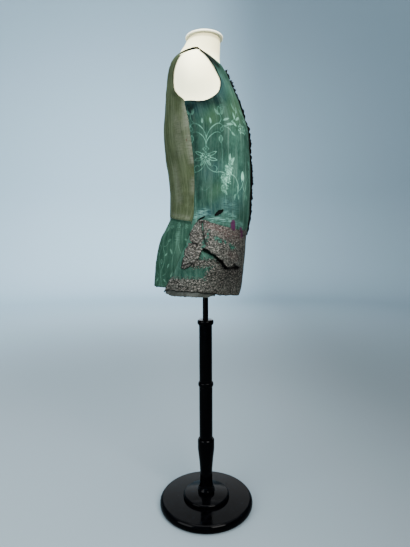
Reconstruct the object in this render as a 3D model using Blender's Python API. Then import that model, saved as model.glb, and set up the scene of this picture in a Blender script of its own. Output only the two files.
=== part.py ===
"""A long sleeveless waistcoat on a limbless dress form and turned stand.

The wearer's front faces +X, the wearer's right side -Y, and the stand's pole is the Z axis.
Angles go round the body from the front: 0 is the centre front, -90 the wearer's right side,
-180 the centre back. "Level" is the height of a ring of the body at the wearer's sides.
"""

import math
from collections import namedtuple

import bmesh
import bpy
import numpy as np
from mathutils import Matrix, Vector

# Cloth
CLOTH = 0.0016
SEAM_GAP = 0.0003
LAYER_GAP = 0.0009
SEAM_HALF_ANGLE = 0.06
SHOULDER_HALF_ANGLE = 0.14
FORM_CLEARANCE = 0.0042
SHOULDER_CLEARANCE = 0.0062
POCKET_CLEARANCE = 0.0080

# Stand
BASE_RADIUS = 0.163
BASE_THICKNESS = 0.031
DISC_RADIUS = 0.081
DISC_TOP = 0.045
VASE_TOP = 0.242
LOWER_TUBE_TOP = 0.429
MID_RING_TOP = 0.445
UPPER_TUBE_TOP = 0.645
CLAMP_TOP = 0.662
LOWER_TUBE_RADIUS = 0.023
UPPER_TUBE_RADIUS = 0.02225
ROD_RADIUS = 0.00965
BORE_RADIUS = 0.00995
BORE_FLOOR = 0.345
ROD_BOTTOM = 0.462
SOCKET_RADIUS = 0.030
SOCKET_BOTTOM = 0.790
FORM_BOTTOM = 0.800
NECK_TOP = 1.572
CAP_TOP = 1.580
CAP_RADIUS = 0.060
CAP_STEP_RADIUS = 0.046
CAP_STEP = 0.002
CAP_LOW_BEVEL = 0.0012
CAP_TOP_BEVEL = 0.0022
SOCKET_BEVEL = 0.004
ROD_BEVEL = 0.001
CLAMP_RADIUS = 0.028
CLAMP_BEAD = 0.004
MID_RING_RADIUS = 0.0265
MID_RING_BEAD = 0.003
DISC_EDGE = 0.004
BASE_BEAD = 0.012
BASE_EDGE_STEPS = 5
TURNED_SIDES = 28
BASE_SIDES = 40
ROD_SIDES = 24

# Profiles of the turned pieces from the foot up; the button's are shares of its own size
Turn = namedtuple("Turn", "radius height")
VASE_PROFILE = [
    Turn(0.0260, 0.0453), Turn(0.0295, 0.0500), Turn(0.0300, 0.0570), Turn(0.0265, 0.0640),
    Turn(0.0232, 0.0740), Turn(0.0215, 0.1000), Turn(0.0215, 0.1250), Turn(0.0240, 0.1600),
    Turn(0.0275, 0.1920), Turn(0.0290, 0.2090), Turn(0.0290, 0.2350), Turn(0.0262, VASE_TOP),
]
BUTTON_PROFILE = [
    Turn(0.62, 0.00), Turn(0.62, 0.30), Turn(1.00, 0.42), Turn(0.94, 0.66), Turn(0.60, 0.92),
]

# Closing
BUTTON_COUNT = 12
TOP_BUTTON = 1.464
BUTTON_PITCH = 0.0437
BUTTON_RADIUS = 0.0065
BUTTON_HEIGHT = 0.0072
BUTTON_ANGLE = 3.9
BUTTON_SIDES = 10
CLOSING_GAP = 0.0005
FACING_BOTTOM = 0.948
FACING_TOP = 1.529
FACING_WIDTH = 0.0018
FACING_ROWS_PER_BUTTON = 3

# Rings of the garment's outer face, from below the hem up to the top of the neck
Ring = namedtuple("Ring", "level z_front z_side z_back x_front x_back half_width squareness fall")
RINGS = [
    Ring(0.720, 0.720, 0.720, 0.720, 0.1020, -0.1760, 0.193, 2.15, 1.30),
    Ring(0.790, 0.790, 0.790, 0.790, 0.1225, -0.1715, 0.187, 2.15, 1.30),
    Ring(0.850, 0.850, 0.850, 0.850, 0.1287, -0.1672, 0.181, 2.15, 1.30),
    Ring(0.900, 0.900, 0.900, 0.900, 0.1338, -0.1597, 0.174, 2.15, 1.30),
    Ring(0.940, 0.940, 0.940, 0.940, 0.1362, -0.1480, 0.166, 2.15, 1.30),
    Ring(0.975, 0.975, 0.975, 0.975, 0.1406, -0.1300, 0.158, 2.15, 1.30),
    Ring(1.010, 1.010, 1.010, 1.010, 0.1450, -0.1160, 0.152, 2.15, 1.30),
    Ring(1.060, 1.060, 1.060, 1.060, 0.1470, -0.1150, 0.148, 2.15, 1.30),
    Ring(1.130, 1.130, 1.130, 1.130, 0.1490, -0.1190, 0.150, 2.15, 1.30),
    Ring(1.200, 1.200, 1.200, 1.200, 0.1460, -0.1290, 0.156, 2.20, 1.30),
    Ring(1.270, 1.270, 1.270, 1.270, 0.1410, -0.1330, 0.163, 2.25, 1.30),
    Ring(1.340, 1.340, 1.340, 1.340, 0.1185, -0.1280, 0.168, 2.22, 1.30),
    Ring(1.400, 1.396, 1.400, 1.400, 0.0970, -0.1225, 0.170, 2.15, 1.20),
    Ring(1.425, 1.413, 1.425, 1.424, 0.0885, -0.1210, 0.170, 2.12, 1.10),
    Ring(1.450, 1.428, 1.452, 1.448, 0.0815, -0.1175, 0.167, 2.12, 1.00),
    Ring(1.470, 1.438, 1.474, 1.463, 0.0770, -0.1145, 0.160, 2.12, 0.90),
    Ring(1.482, 1.443, 1.487, 1.473, 0.0750, -0.1120, 0.150, 2.10, 0.85),
    Ring(1.492, 1.448, 1.496, 1.485, 0.0730, -0.1085, 0.130, 2.05, 0.80),
    Ring(1.506, 1.454, 1.506, 1.499, 0.0705, -0.1030, 0.100, 2.00, 0.75),
    Ring(1.520, 1.461, 1.515, 1.510, 0.0680, -0.0965, 0.070, 2.00, 0.75),
    Ring(1.532, 1.478, 1.528, 1.525, 0.0600, -0.0865, 0.060, 2.00, 0.80),
    Ring(1.550, 1.510, 1.546, 1.543, 0.0500, -0.0700, 0.0535, 2.00, 1.00),
    Ring(1.572, 1.572, 1.572, 1.572, 0.0510, -0.0520, 0.0520, 2.00, 1.30),
]
BACK_FALL = 1.3

# How far the form stands inside the cloth's outer face at each level
Inset = namedtuple("Inset", "level depth")
FORM_INSETS = [
    Inset(0.800, 0.030),
    Inset(0.860, 0.024),
    Inset(0.930, 0.014),
    Inset(0.985, POCKET_CLEARANCE),
    Inset(1.036, POCKET_CLEARANCE),
    Inset(1.090, FORM_CLEARANCE),
    Inset(1.460, FORM_CLEARANCE),
    Inset(1.492, SHOULDER_CLEARANCE),
    Inset(1.524, SHOULDER_CLEARANCE),
    Inset(1.548, 0.001),
    Inset(1.572, 0.000),
]
FORM_LEVELS = [
    0.800, 0.850, 0.900, 0.940, 0.975, 1.010, 1.050, 1.090, 1.130, 1.165, 1.200, 1.235, 1.270,
    1.305, 1.335, 1.362, 1.388, 1.412, 1.434, 1.452, 1.468, 1.481, 1.492, 1.503, 1.513, 1.523,
    1.533, 1.543, 1.554, 1.572,
]
FORM_COLUMNS = 40
ARM_ANGLE = 98.5
ARM_HALF_ANGLE = 36.0
ARM_LEVEL = 1.410
ARM_HALF_HEIGHT = 0.074
ARM_BULGE = 0.015

# Soft waves of the skirts
WAVE_TOP = 0.975
WAVE_HEIGHT = 0.150
Wave = namedtuple("Wave", "angle half_angle depth")
SKIRT_WAVES = [
    Wave(154.0, 11.0, 0.0045),
    Wave(74.0, 12.0, 0.0040),
    Wave(48.0, 10.0, -0.0030),
    Wave(26.0, 8.0, 0.0020),
]

# Rows of the right-hand panels, each from its inner edge (centre) to its outer edge (side)
Row = namedtuple("Row", "inner_angle inner_level outer_angle outer_level steps")
FRONT_ROWS = [
    Row(0.0, 0.749, 131.0, 0.776, 2),
    Row(0.0, 0.790, 126.0, 0.800, 2),
    Row(0.0, 0.840, 117.0, 0.840, 2),
    Row(0.0, 0.885, 110.7, 0.885, 2),
    Row(0.0, 0.943, 106.0, 0.943, 2),
    Row(0.0, 0.995, 110.4, 0.997, 2),
    Row(0.0, 1.060, 110.2, 1.060, 1),
    Row(0.0, 1.127, 108.9, 1.127, 2),
    Row(0.0, 1.190, 107.3, 1.190, 1),
    Row(0.0, 1.245, 108.4, 1.262, 1),
    Row(0.0, 1.264, 110.8, 1.300, 1),
    Row(0.0, 1.285, 113.5, 1.336, 1),
    Row(0.0, 1.312, 102.0, 1.3325, 1),
    Row(0.0, 1.334, 90.0, 1.333, 1),
    Row(0.0, 1.357, 79.0, 1.344, 1),
    Row(0.0, 1.385, 68.0, 1.362, 1),
    Row(0.0, 1.408, 61.0, 1.385, 1),
    Row(0.0, 1.430, 59.0, 1.404, 1),
    Row(0.0, 1.455, 62.0, 1.428, 2),
    Row(0.0, 1.492, 68.0, 1.448, 2),
    Row(0.0, 1.531, 76.0, 1.466, 2),
    Row(30.0, 1.5135, 84.0, 1.477, 2),
    Row(62.0, 1.5175, 93.0, 1.484, 2),
    Row(97.0, 1.522, 103.0, 1.487, 1),
]
BACK_ROWS = [
    Row(180.0, 1.010, 110.6, 0.990, 1),
    Row(180.0, 1.060, 110.2, 1.060, 1),
    Row(180.0, 1.127, 108.9, 1.127, 2),
    Row(180.0, 1.190, 107.3, 1.190, 1),
    Row(180.0, 1.255, 108.4, 1.262, 1),
    Row(180.0, 1.290, 110.8, 1.300, 1),
    Row(180.0, 1.322, 113.5, 1.336, 2),
    Row(180.0, 1.352, 124.3, 1.358, 1),
    Row(180.0, 1.380, 133.2, 1.380, 1),
    Row(180.0, 1.412, 136.3, 1.411, 1),
    Row(180.0, 1.445, 133.0, 1.443, 1),
    Row(180.0, 1.480, 125.3, 1.468, 2),
    Row(180.0, 1.5195, 116.3, 1.481, 2),
    Row(150.0, 1.5205, 109.0, 1.485, 1),
    Row(124.0, 1.5215, 106.0, 1.4865, 2),
    Row(97.0, 1.522, 103.0, 1.487, 1),
]
SKIRT_ROWS = [
    Row(180.0, 0.785, 116.0, 0.7905, 2),
    Row(180.0, 0.840, 108.0, 0.840, 2),
    Row(180.0, 0.900, 101.5, 0.895, 2),
    Row(180.0, 0.940, 99.0, 0.935, 1),
    Row(180.0, 0.966, 103.0, 0.960, 1),
    Row(180.0, 0.988, 107.2, 0.974, 1),
    Row(180.0, 1.0035, 110.9, 0.9835, 1),
    Row(180.0, 1.0095, 110.9, 0.9893, 1),
]
SKIRT_SEAM = 1.0095
SKIRT_TUCK = 0.006
LINING_ROWS = [
    Row(69.0, 0.768, 130.0, 0.7715, 1),
    Row(69.0, 0.776, 130.0, 0.7785, 1),
    Row(69.0, 0.7865, 130.0, 0.7865, 1),
]
POCKET_ROWS = [
    Row(68.0, 0.990, 106.5, 0.984, 2),
    Row(68.0, 1.036, 106.5, 1.020, 1),
]
FLAP_ROWS = 6

# Rips of the right front, each a lens through the cloth
Rip = namedtuple("Rip", "start_angle start_level end_angle end_level width")
RIPS = [
    Rip(103.2, 0.9905, 95.0, 1.0035, 0.0052),
    Rip(84.5, 1.0055, 74.0, 1.0235, 0.0110),
]
RIP_POINTS = 8
RIP_DEPTH = 0.006

# The front hem and the lining's lower edge dip and rise along their length
Dip = namedtuple("Dip", "share rise")
HEM_DIPS = [Dip(0.0, 0.0), Dip(0.2, 0.003), Dip(0.43, 0.007), Dip(0.6, 0.011), Dip(0.75, 0.013),
            Dip(0.86, 0.010), Dip(0.95, 0.010), Dip(1.0, 0.0)]
LINING_DIPS = [Dip(0.0, 0.0), Dip(0.2, -0.004), Dip(0.5, -0.003), Dip(0.8, -0.004), Dip(1.0, 0.0)]
FLAT_DIPS = [Dip(0.0, 0.0), Dip(1.0, 0.0)]
HEM_FADE = 0.05

# Columns of the pocket flap, from its rear lobe forward; lift is how far the tip stands off
Column = namedtuple("Column", "top_angle top_level low_angle low_level lift")
FLAP_COLUMNS = [
    Column(106.0, 0.958, 108.5, 0.852, 0.0022),
    Column(103.5, 0.985, 104.0, 0.848, 0.0030),
    Column(97.0, 0.993, 96.5, 0.862, 0.0034),
    Column(91.0, 0.990, 91.0, 0.880, 0.0026),
    Column(87.0, 0.985, 88.0, 0.907, 0.0016),
    Column(81.0, 0.981, 81.5, 0.898, 0.0044),
    Column(75.0, 0.977, 74.5, 0.885, 0.0066),
    Column(68.0, 0.973, 68.0, 0.870, 0.0080),
    Column(61.0, 0.970, 61.5, 0.853, 0.0076),
    Column(54.0, 0.967, 55.0, 0.852, 0.0060),
    Column(47.5, 0.965, 48.0, 0.859, 0.0040),
    Column(40.0, 0.963, 41.0, 0.851, 0.0036),
    Column(33.0, 0.961, 34.0, 0.850, 0.0030),
]

# How far the closing's dark edge stands out at each level
Stand = namedtuple("Stand", "level reach")
FACING_STANDS = [Stand(0.940, 0.0022), Stand(0.985, 0.0075), Stand(1.060, 0.0090),
                 Stand(1.130, 0.0080), Stand(1.200, 0.0052), Stand(1.300, 0.0034),
                 Stand(1.400, 0.0028), Stand(1.530, 0.0024)]
FACING_RIPPLE = 0.22

Finish = namedtuple("Finish", "color roughness metallic")
FIGURED_SILK = Finish((0.085, 0.235, 0.185, 1.0), 0.55, 0.0)
KHAKI_SATIN = Finish((0.165, 0.175, 0.098, 1.0), 0.55, 0.0)
SKIRT_SILK = Finish((0.045, 0.155, 0.095, 1.0), 0.55, 0.0)
BROCADE = Finish((0.255, 0.205, 0.175, 1.0), 0.50, 0.35)
DARK_FACING = Finish((0.012, 0.012, 0.012, 1.0), 0.70, 0.0)
PALE_LINING = Finish((0.250, 0.235, 0.205, 1.0), 0.75, 0.0)
BUTTON_DARK = Finish((0.022, 0.022, 0.020, 1.0), 0.45, 0.2)
FORM_CREAM = Finish((0.780, 0.740, 0.660, 1.0), 0.60, 0.0)
CAP_WHITE = Finish((0.800, 0.790, 0.770, 1.0), 0.45, 0.0)
BLACK_LACQUER = Finish((0.006, 0.006, 0.007, 1.0), 0.16, 0.0)
BLACK_STEEL = Finish((0.010, 0.010, 0.011, 1.0), 0.25, 0.8)


def clear_scene():
    """Remove whatever the file holds."""
    for item in list(bpy.data.objects):
        bpy.data.objects.remove(item, do_unlink=True)


def material(name, finish):
    """A plain material in the finish's colour."""
    made = bpy.data.materials.new(name)
    made.use_nodes = True
    shader = made.node_tree.nodes["Principled BSDF"]
    shader.inputs["Base Color"].default_value = finish.color
    shader.inputs["Roughness"].default_value = finish.roughness
    shader.inputs["Metallic"].default_value = finish.metallic
    return made


def add_object(name, mesh_builder, finish, smooth_angle=40.0):
    """Make a bmesh an object with its own material, its faces pointing out."""
    bmesh.ops.remove_doubles(mesh_builder, verts=mesh_builder.verts, dist=1e-6)
    bmesh.ops.recalc_face_normals(mesh_builder, faces=mesh_builder.faces)
    mesh = bpy.data.meshes.new(name)
    mesh_builder.to_mesh(mesh)
    mesh_builder.free()
    mesh.shade_smooth()
    mesh.set_sharp_from_angle(angle=math.radians(smooth_angle))
    mesh.materials.append(material(name, finish))
    made = bpy.data.objects.new(name, mesh)
    bpy.context.scene.collection.objects.link(made)
    return made


def smooth_step(share):
    """0 to 1 with level ends."""
    held = min(1.0, max(0.0, share))
    return held * held * (3.0 - 2.0 * held)


def table_value(rows, key):
    """The second column of a short table at a key in its first, eased between rows."""
    if key <= rows[0][0]:
        return rows[0][1]
    for low, high in zip(rows, rows[1:]):
        if key <= high[0]:
            share = (key - low[0]) / (high[0] - low[0])
            return low[1] + (high[1] - low[1]) * smooth_step(share)
    return rows[-1][1]


def ring_slopes():
    """Slopes of each column at each ring, flat where a column turns back."""
    table = np.array(RINGS)
    steps = np.diff(table, axis=0) / np.diff(table[:, 0])[:, None]
    slopes = np.zeros_like(table)
    slopes[0] = steps[0]
    slopes[-1] = steps[-1]
    for i in range(1, len(table) - 1):
        product = steps[i - 1] * steps[i]
        total = steps[i - 1] + steps[i]
        safe = np.where(total == 0.0, 1.0, total)
        slopes[i] = np.where(product > 0.0, 2.0 * product / safe, 0.0)
    return table, slopes


RING_TABLE, RING_SLOPES = ring_slopes()


def ring_at(level):
    """A smooth ring between the table's rings."""
    levels = RING_TABLE[:, 0]
    i = int(np.clip(np.searchsorted(levels, level) - 1, 0, len(levels) - 2))
    span = levels[i + 1] - levels[i]
    t = (level - levels[i]) / span
    low = (1 + 2 * t) * (1 - t) ** 2 * RING_TABLE[i] + t * (1 - t) ** 2 * span * RING_SLOPES[i]
    high = t * t * (3 - 2 * t) * RING_TABLE[i + 1] + t * t * (t - 1) * span * RING_SLOPES[i + 1]
    return Ring(*(low + high))


def signed_power(value, power):
    """A power that keeps the sign."""
    return math.copysign(abs(value) ** power, value)


def body_point(angle, level):
    """A point of the smooth outer face; angle in degrees from the centre front."""
    ring = ring_at(level)
    turn = math.radians(angle)
    forward = math.cos(turn)
    power = 2.0 / ring.squareness
    middle = (ring.x_front + ring.x_back) / 2
    x = middle + (ring.x_front - ring.x_back) / 2 * signed_power(forward, power)
    y = ring.half_width * signed_power(math.sin(turn), power)
    end = ring.z_front if forward > 0 else ring.z_back
    fall = ring.fall if forward > 0 else BACK_FALL
    z = ring.z_side + (end - ring.z_side) * abs(forward) ** fall
    return np.array([x, y, z])


def body_normal(angle, level):
    """The outward direction of the smooth outer face."""
    angle_step = 0.5
    level_step = 0.002
    around = body_point(angle + angle_step, level) - body_point(angle - angle_step, level)
    upward = body_point(angle, level + level_step) - body_point(angle, level - level_step)
    normal = np.cross(around, upward)
    return normal / np.linalg.norm(normal)


def skirt_wave(angle, level):
    """How far the skirts' soft waves stand off the smooth face."""
    fall = smooth_step((WAVE_TOP - level) / WAVE_HEIGHT)
    if fall == 0.0:
        return 0.0
    total = 0.0
    for wave in SKIRT_WAVES:
        share = (abs(angle) - wave.angle) / wave.half_angle
        if abs(share) < 2.0:
            total += wave.depth * math.cos(share * math.pi / 4) ** 2
    return total * fall


def cloth_point(angle, level, lift=0.0):
    """A point of the garment's outer face, moved out by lift."""
    lift = lift + skirt_wave(angle, level)
    return body_point(angle, level) + body_normal(angle, level) * lift


def refine(rows):
    """Rows between the table's rows, on a smooth curve through them."""
    table = np.array([row[:4] for row in rows])
    result = []
    for i in range(len(rows) - 1):
        before = table[max(i - 1, 0)]
        start = table[i]
        end = table[i + 1]
        after = table[min(i + 2, len(rows) - 1)]
        for k in range(int(rows[i][4])):
            t = k / rows[i][4]
            bend = 0.5 * ((end - before) * t + (2 * before - 5 * start + 4 * end - after) * t * t
                          + (3 * start - before - 3 * end + after) * t ** 3)
            held = np.clip(start + bend, np.minimum(start, end), np.maximum(start, end))
            result.append(held)
    result.append(table[-1])
    return result


def shell(grid_outer, grid_inner):
    """A closed wall between two grids of points of the same size."""
    mesh_builder = bmesh.new()
    rows = len(grid_outer)
    columns = len(grid_outer[0])
    faces = []
    layers = []
    for grid in (grid_outer, grid_inner):
        layers.append([[mesh_builder.verts.new(point) for point in line] for line in grid])
    outer, inner = layers
    for i in range(rows - 1):
        for j in range(columns - 1):
            faces.append([outer[i][j], outer[i][j + 1], outer[i + 1][j + 1], outer[i + 1][j]])
            faces.append([inner[i][j], inner[i + 1][j], inner[i + 1][j + 1], inner[i][j + 1]])
    for i in range(rows - 1):
        for j in (0, columns - 1):
            faces.append([outer[i][j], outer[i + 1][j], inner[i + 1][j], inner[i][j]])
    for j in range(columns - 1):
        for i in (0, rows - 1):
            faces.append([outer[i][j], outer[i][j + 1], inner[i][j + 1], inner[i][j]])
    for face in faces:
        mesh_builder.faces.new(face)
    bmesh.ops.recalc_face_normals(mesh_builder, faces=mesh_builder.faces)
    return mesh_builder


def same_lift(level):
    """A panel that lies on the garment's outer face."""
    return 0.0


def under_lift(level):
    """A panel that lies under another."""
    return -(CLOTH + LAYER_GAP)


def lining_lift(level):
    """The hem lining hangs a little further in."""
    return under_lift(level) - LAYER_GAP


def skirt_lift(level):
    """The back skirt starts flush at the waist seam and passes under the front below it."""
    return under_lift(level) * smooth_step((SKIRT_SEAM - level) / SKIRT_TUCK)


def panel(name, rows, columns, side, finish, lift_at=same_lift, dips=FLAT_DIPS,
          trims=(0.0, 0.0, 0.0)):
    """A cloth panel: its rows run from the inner to the outer edge.

    side is -1 for the wearer's right and 1 for the left; trims narrow it by degrees at its inner
    edge, its outer edge and its last row, which leaves the seams' gaps.
    """
    inner_trim, outer_trim, last_trim = trims
    lines = refine(rows)
    hem_level = lines[0][1]
    outer_grid = []
    inner_grid = []
    for number, (inner_angle, inner_level, outer_angle, outer_level) in enumerate(lines):
        direction = math.copysign(1.0, outer_angle - inner_angle)
        start = inner_angle + direction * inner_trim
        end = outer_angle - direction * outer_trim
        if number == len(lines) - 1:
            start += last_trim
            end += last_trim
        fade = 1.0 - smooth_step((inner_level - hem_level) / HEM_FADE)
        lift = lift_at(inner_level)
        outer_line = []
        inner_line = []
        for j in range(columns + 1):
            share = j / columns
            angle = start + (end - start) * share
            level = inner_level + (outer_level - inner_level) * share
            level += table_value(dips, share) * fade
            outer_line.append(cloth_point(side * angle, level, lift))
            inner_line.append(cloth_point(side * angle, level, lift - CLOTH))
        outer_grid.append(outer_line)
        inner_grid.append(inner_line)
    return add_object(name, shell(outer_grid, inner_grid), finish)


def cut_rips(target):
    """Cut the rips through a panel with lens-shaped cutters that stay as hidden guides."""
    for number, rip in enumerate(RIPS):
        start = cloth_point(-rip.start_angle, rip.start_level)
        end = cloth_point(-rip.end_angle, rip.end_level)
        middle_angle = -(rip.start_angle + rip.end_angle) / 2
        outward = body_normal(middle_angle, (rip.start_level + rip.end_level) / 2)
        across = np.cross(outward, end - start)
        across = across / np.linalg.norm(across)
        edge = []
        for k in range(RIP_POINTS + 1):
            share = k / RIP_POINTS
            spread = math.sin(math.pi * share) * rip.width / 2
            edge.append(start + (end - start) * share + across * spread)
        for k in range(RIP_POINTS - 1, 0, -1):
            share = k / RIP_POINTS
            spread = math.sin(math.pi * share) * rip.width / 2
            edge.append(start + (end - start) * share - across * spread)
        cutter_mesh = bmesh.new()
        low = [cutter_mesh.verts.new(point - outward * RIP_DEPTH) for point in edge]
        high = [cutter_mesh.verts.new(point + outward * RIP_DEPTH) for point in edge]
        for k in range(len(edge)):
            after = (k + 1) % len(edge)
            cutter_mesh.faces.new([low[k], low[after], high[after], high[k]])
        cutter_mesh.faces.new(low)
        cutter_mesh.faces.new(high)
        cutter = add_object(f"rip_cutter_{number + 1}", cutter_mesh, DARK_FACING)
        cutter.hide_render = True
        cutter.display_type = "WIRE"
        cut = target.modifiers.new(f"rip_{number + 1}", "BOOLEAN")
        cut.operation = "DIFFERENCE"
        cut.solver = "EXACT"
        cut.object = cutter


def pocket_flap(name, side):
    """A lobed flap on the front panel, its lower edge standing off the cloth."""
    outer_grid = []
    inner_grid = []
    for column in FLAP_COLUMNS:
        outer_line = []
        inner_line = []
        for i in range(FLAP_ROWS + 1):
            share = i / FLAP_ROWS
            angle = column.top_angle + (column.low_angle - column.top_angle) * share
            level = column.top_level + (column.low_level - column.top_level) * share
            lift = LAYER_GAP + column.lift * smooth_step(share)
            outer_line.append(cloth_point(side * angle, level, lift + CLOTH))
            inner_line.append(cloth_point(side * angle, level, lift))
        outer_grid.append(outer_line)
        inner_grid.append(inner_line)
    return add_object(name, shell(outer_grid, inner_grid), BROCADE)


def closing_facing():
    """The dark edge that stands forward along the closing, rippling between the buttons."""
    count = int(round((FACING_TOP - FACING_BOTTOM) / BUTTON_PITCH * FACING_ROWS_PER_BUTTON))
    half = FACING_WIDTH / 2
    right_grid = []
    left_grid = []
    for i in range(count + 1):
        level = FACING_BOTTOM + (FACING_TOP - FACING_BOTTOM) * i / count
        phase = (level - TOP_BUTTON) / BUTTON_PITCH * 2 * math.pi
        ripple = 1.0 - FACING_RIPPLE * (0.5 + 0.5 * math.cos(phase))
        reach = table_value(FACING_STANDS, level) * ripple
        root = cloth_point(0.0, level, CLOSING_GAP)
        tip = cloth_point(0.0, level, CLOSING_GAP + reach)
        aside = np.array([0.0, half, 0.0])
        right_grid.append([root - aside, tip - aside])
        left_grid.append([root + aside, tip + aside])
    return add_object("closing_facing", shell(right_grid, left_grid), DARK_FACING)


def button(number):
    """One small domed button on the left front, beside the closing."""
    level = TOP_BUTTON - BUTTON_PITCH * number
    foot = cloth_point(BUTTON_ANGLE, level, CLOSING_GAP)
    outward = Vector(body_normal(BUTTON_ANGLE, level))
    profile = [(turn.radius * BUTTON_RADIUS, turn.height * BUTTON_HEIGHT)
               for turn in BUTTON_PROFILE]
    mesh_builder = turned(profile, BUTTON_SIDES, BUTTON_HEIGHT)
    turn = Vector((0.0, 0.0, 1.0)).rotation_difference(outward).to_matrix().to_4x4()
    mesh_builder.transform(Matrix.Translation(Vector(foot)) @ turn)
    return add_object(f"button_{number + 1:02d}", mesh_builder, BUTTON_DARK)


def turned(profile, sides, tip=None):
    """A turned solid: (radius, height) from its foot up; tip closes the top in a point."""
    mesh_builder = bmesh.new()
    loops = []
    for radius, height in profile:
        loop = []
        for k in range(sides):
            turn = 2 * math.pi * k / sides
            place = (radius * math.cos(turn), radius * math.sin(turn), height)
            loop.append(mesh_builder.verts.new(place))
        loops.append(loop)
    for low, high in zip(loops, loops[1:]):
        for k in range(sides):
            after = (k + 1) % sides
            mesh_builder.faces.new([low[k], low[after], high[after], high[k]])
    mesh_builder.faces.new(list(reversed(loops[0])))
    if tip is None:
        mesh_builder.faces.new(loops[-1])
    else:
        top = mesh_builder.verts.new((0.0, 0.0, tip))
        for k in range(sides):
            mesh_builder.faces.new([loops[-1][k], loops[-1][(k + 1) % sides], top])
    return mesh_builder


def bored(profile, sides, bore, through, floor=0.0):
    """A turned solid with a bore from its top, right through it or down to a floor."""
    mesh_builder = bmesh.new()
    top = profile[-1][1]
    bottom = profile[0][1] if through else floor
    path = list(profile) + [(bore, top), (bore, bottom)]
    loops = []
    for radius, height in path:
        loop = []
        for k in range(sides):
            turn = 2 * math.pi * k / sides
            place = (radius * math.cos(turn), radius * math.sin(turn), height)
            loop.append(mesh_builder.verts.new(place))
        loops.append(loop)
    pairs = list(zip(loops, loops[1:]))
    if through:
        pairs.append((loops[-1], loops[0]))
    for low, high in pairs:
        for k in range(sides):
            after = (k + 1) % sides
            mesh_builder.faces.new([low[k], low[after], high[after], high[k]])
    if not through:
        mesh_builder.faces.new(list(reversed(loops[0])))
        mesh_builder.faces.new(loops[-1])
    return mesh_builder


def form_point(angle, level):
    """A point of the dress form, inside the cloth and rounded out through the armholes."""
    lift = -table_value(FORM_INSETS, level)
    across = (abs(angle) - ARM_ANGLE) / ARM_HALF_ANGLE
    upward = (level - ARM_LEVEL) / ARM_HALF_HEIGHT
    reach = across * across + upward * upward
    if reach < 1.0:
        lift += ARM_BULGE * (1.0 - reach) ** 2
    point = body_point(angle, level) + body_normal(angle, level) * lift
    if level <= FORM_BOTTOM:
        point[2] = FORM_BOTTOM
    return point


def dress_form():
    """The limbless torso with its neck, closed flat at both ends."""
    mesh_builder = bmesh.new()
    loops = []
    for level in FORM_LEVELS:
        loop = []
        for k in range(FORM_COLUMNS):
            angle = -180.0 + 360.0 * (k + 0.5) / FORM_COLUMNS
            point = form_point(angle, level)
            if level >= NECK_TOP:
                point[2] = NECK_TOP
            loop.append(mesh_builder.verts.new(point))
        loops.append(loop)
    for low, high in zip(loops, loops[1:]):
        for k in range(FORM_COLUMNS):
            after = (k + 1) % FORM_COLUMNS
            mesh_builder.faces.new([low[k], low[after], high[after], high[k]])
    mesh_builder.faces.new(list(reversed(loops[0])))
    mesh_builder.faces.new(loops[-1])
    return add_object("dress_form", mesh_builder, FORM_CREAM, 60.0)


def rounded_edge(radius, low, high, bead, steps=3):
    """The profile of a disc whose rim is a half round of the bead's radius."""
    profile = [(radius - bead, low)]
    for k in range(1, steps):
        turn = math.pi * k / steps - math.pi / 2
        middle = (low + high) / 2
        reach = (high - low) / 2
        profile.append((radius - bead + bead * math.cos(turn), middle + reach * math.sin(turn)))
    profile.append((radius - bead, high))
    return profile


def garment():
    """Every piece of the waistcoat, right side then left."""
    seams = (SEAM_HALF_ANGLE, SEAM_HALF_ANGLE)
    for word, side in (("right", -1), ("left", 1)):
        front = panel(f"front_{word}", FRONT_ROWS, 14, side, FIGURED_SILK, dips=HEM_DIPS,
                      trims=(*seams, -SHOULDER_HALF_ANGLE))
        if side < 0:
            cut_rips(front)
        panel(f"back_{word}", BACK_ROWS, 8, side, KHAKI_SATIN,
              trims=(*seams, SHOULDER_HALF_ANGLE))
        panel(f"back_skirt_{word}", SKIRT_ROWS, 12, side, SKIRT_SILK, skirt_lift,
              trims=(2 * SEAM_HALF_ANGLE, 0.0, 0.0))
        pocket_flap(f"pocket_flap_{word}", side)
    panel("hem_lining_right", LINING_ROWS, 14, -1, PALE_LINING, lining_lift, LINING_DIPS)
    panel("pocket_bag_right", POCKET_ROWS, 6, -1, DARK_FACING, under_lift)
    closing_facing()
    for number in range(BUTTON_COUNT):
        button(number)


def figure():
    """The dress form, its neck cap and the socket under it."""
    dress_form()
    cap = [
        (CAP_STEP_RADIUS, NECK_TOP + SEAM_GAP),
        (CAP_STEP_RADIUS, NECK_TOP + CAP_STEP),
        (CAP_RADIUS - CAP_LOW_BEVEL, NECK_TOP + CAP_STEP),
        (CAP_RADIUS, NECK_TOP + CAP_STEP + CAP_LOW_BEVEL),
        (CAP_RADIUS, CAP_TOP - CAP_TOP_BEVEL),
        (CAP_RADIUS - CAP_TOP_BEVEL, CAP_TOP),
    ]
    add_object("neck_cap", turned(cap, TURNED_SIDES), CAP_WHITE)
    socket = [
        (SOCKET_RADIUS - SOCKET_BEVEL, SOCKET_BOTTOM),
        (SOCKET_RADIUS, SOCKET_BOTTOM + SOCKET_BEVEL),
        (SOCKET_RADIUS, FORM_BOTTOM - SEAM_GAP),
    ]
    add_object("form_socket", turned(socket, ROD_SIDES), BLACK_LACQUER)


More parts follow.
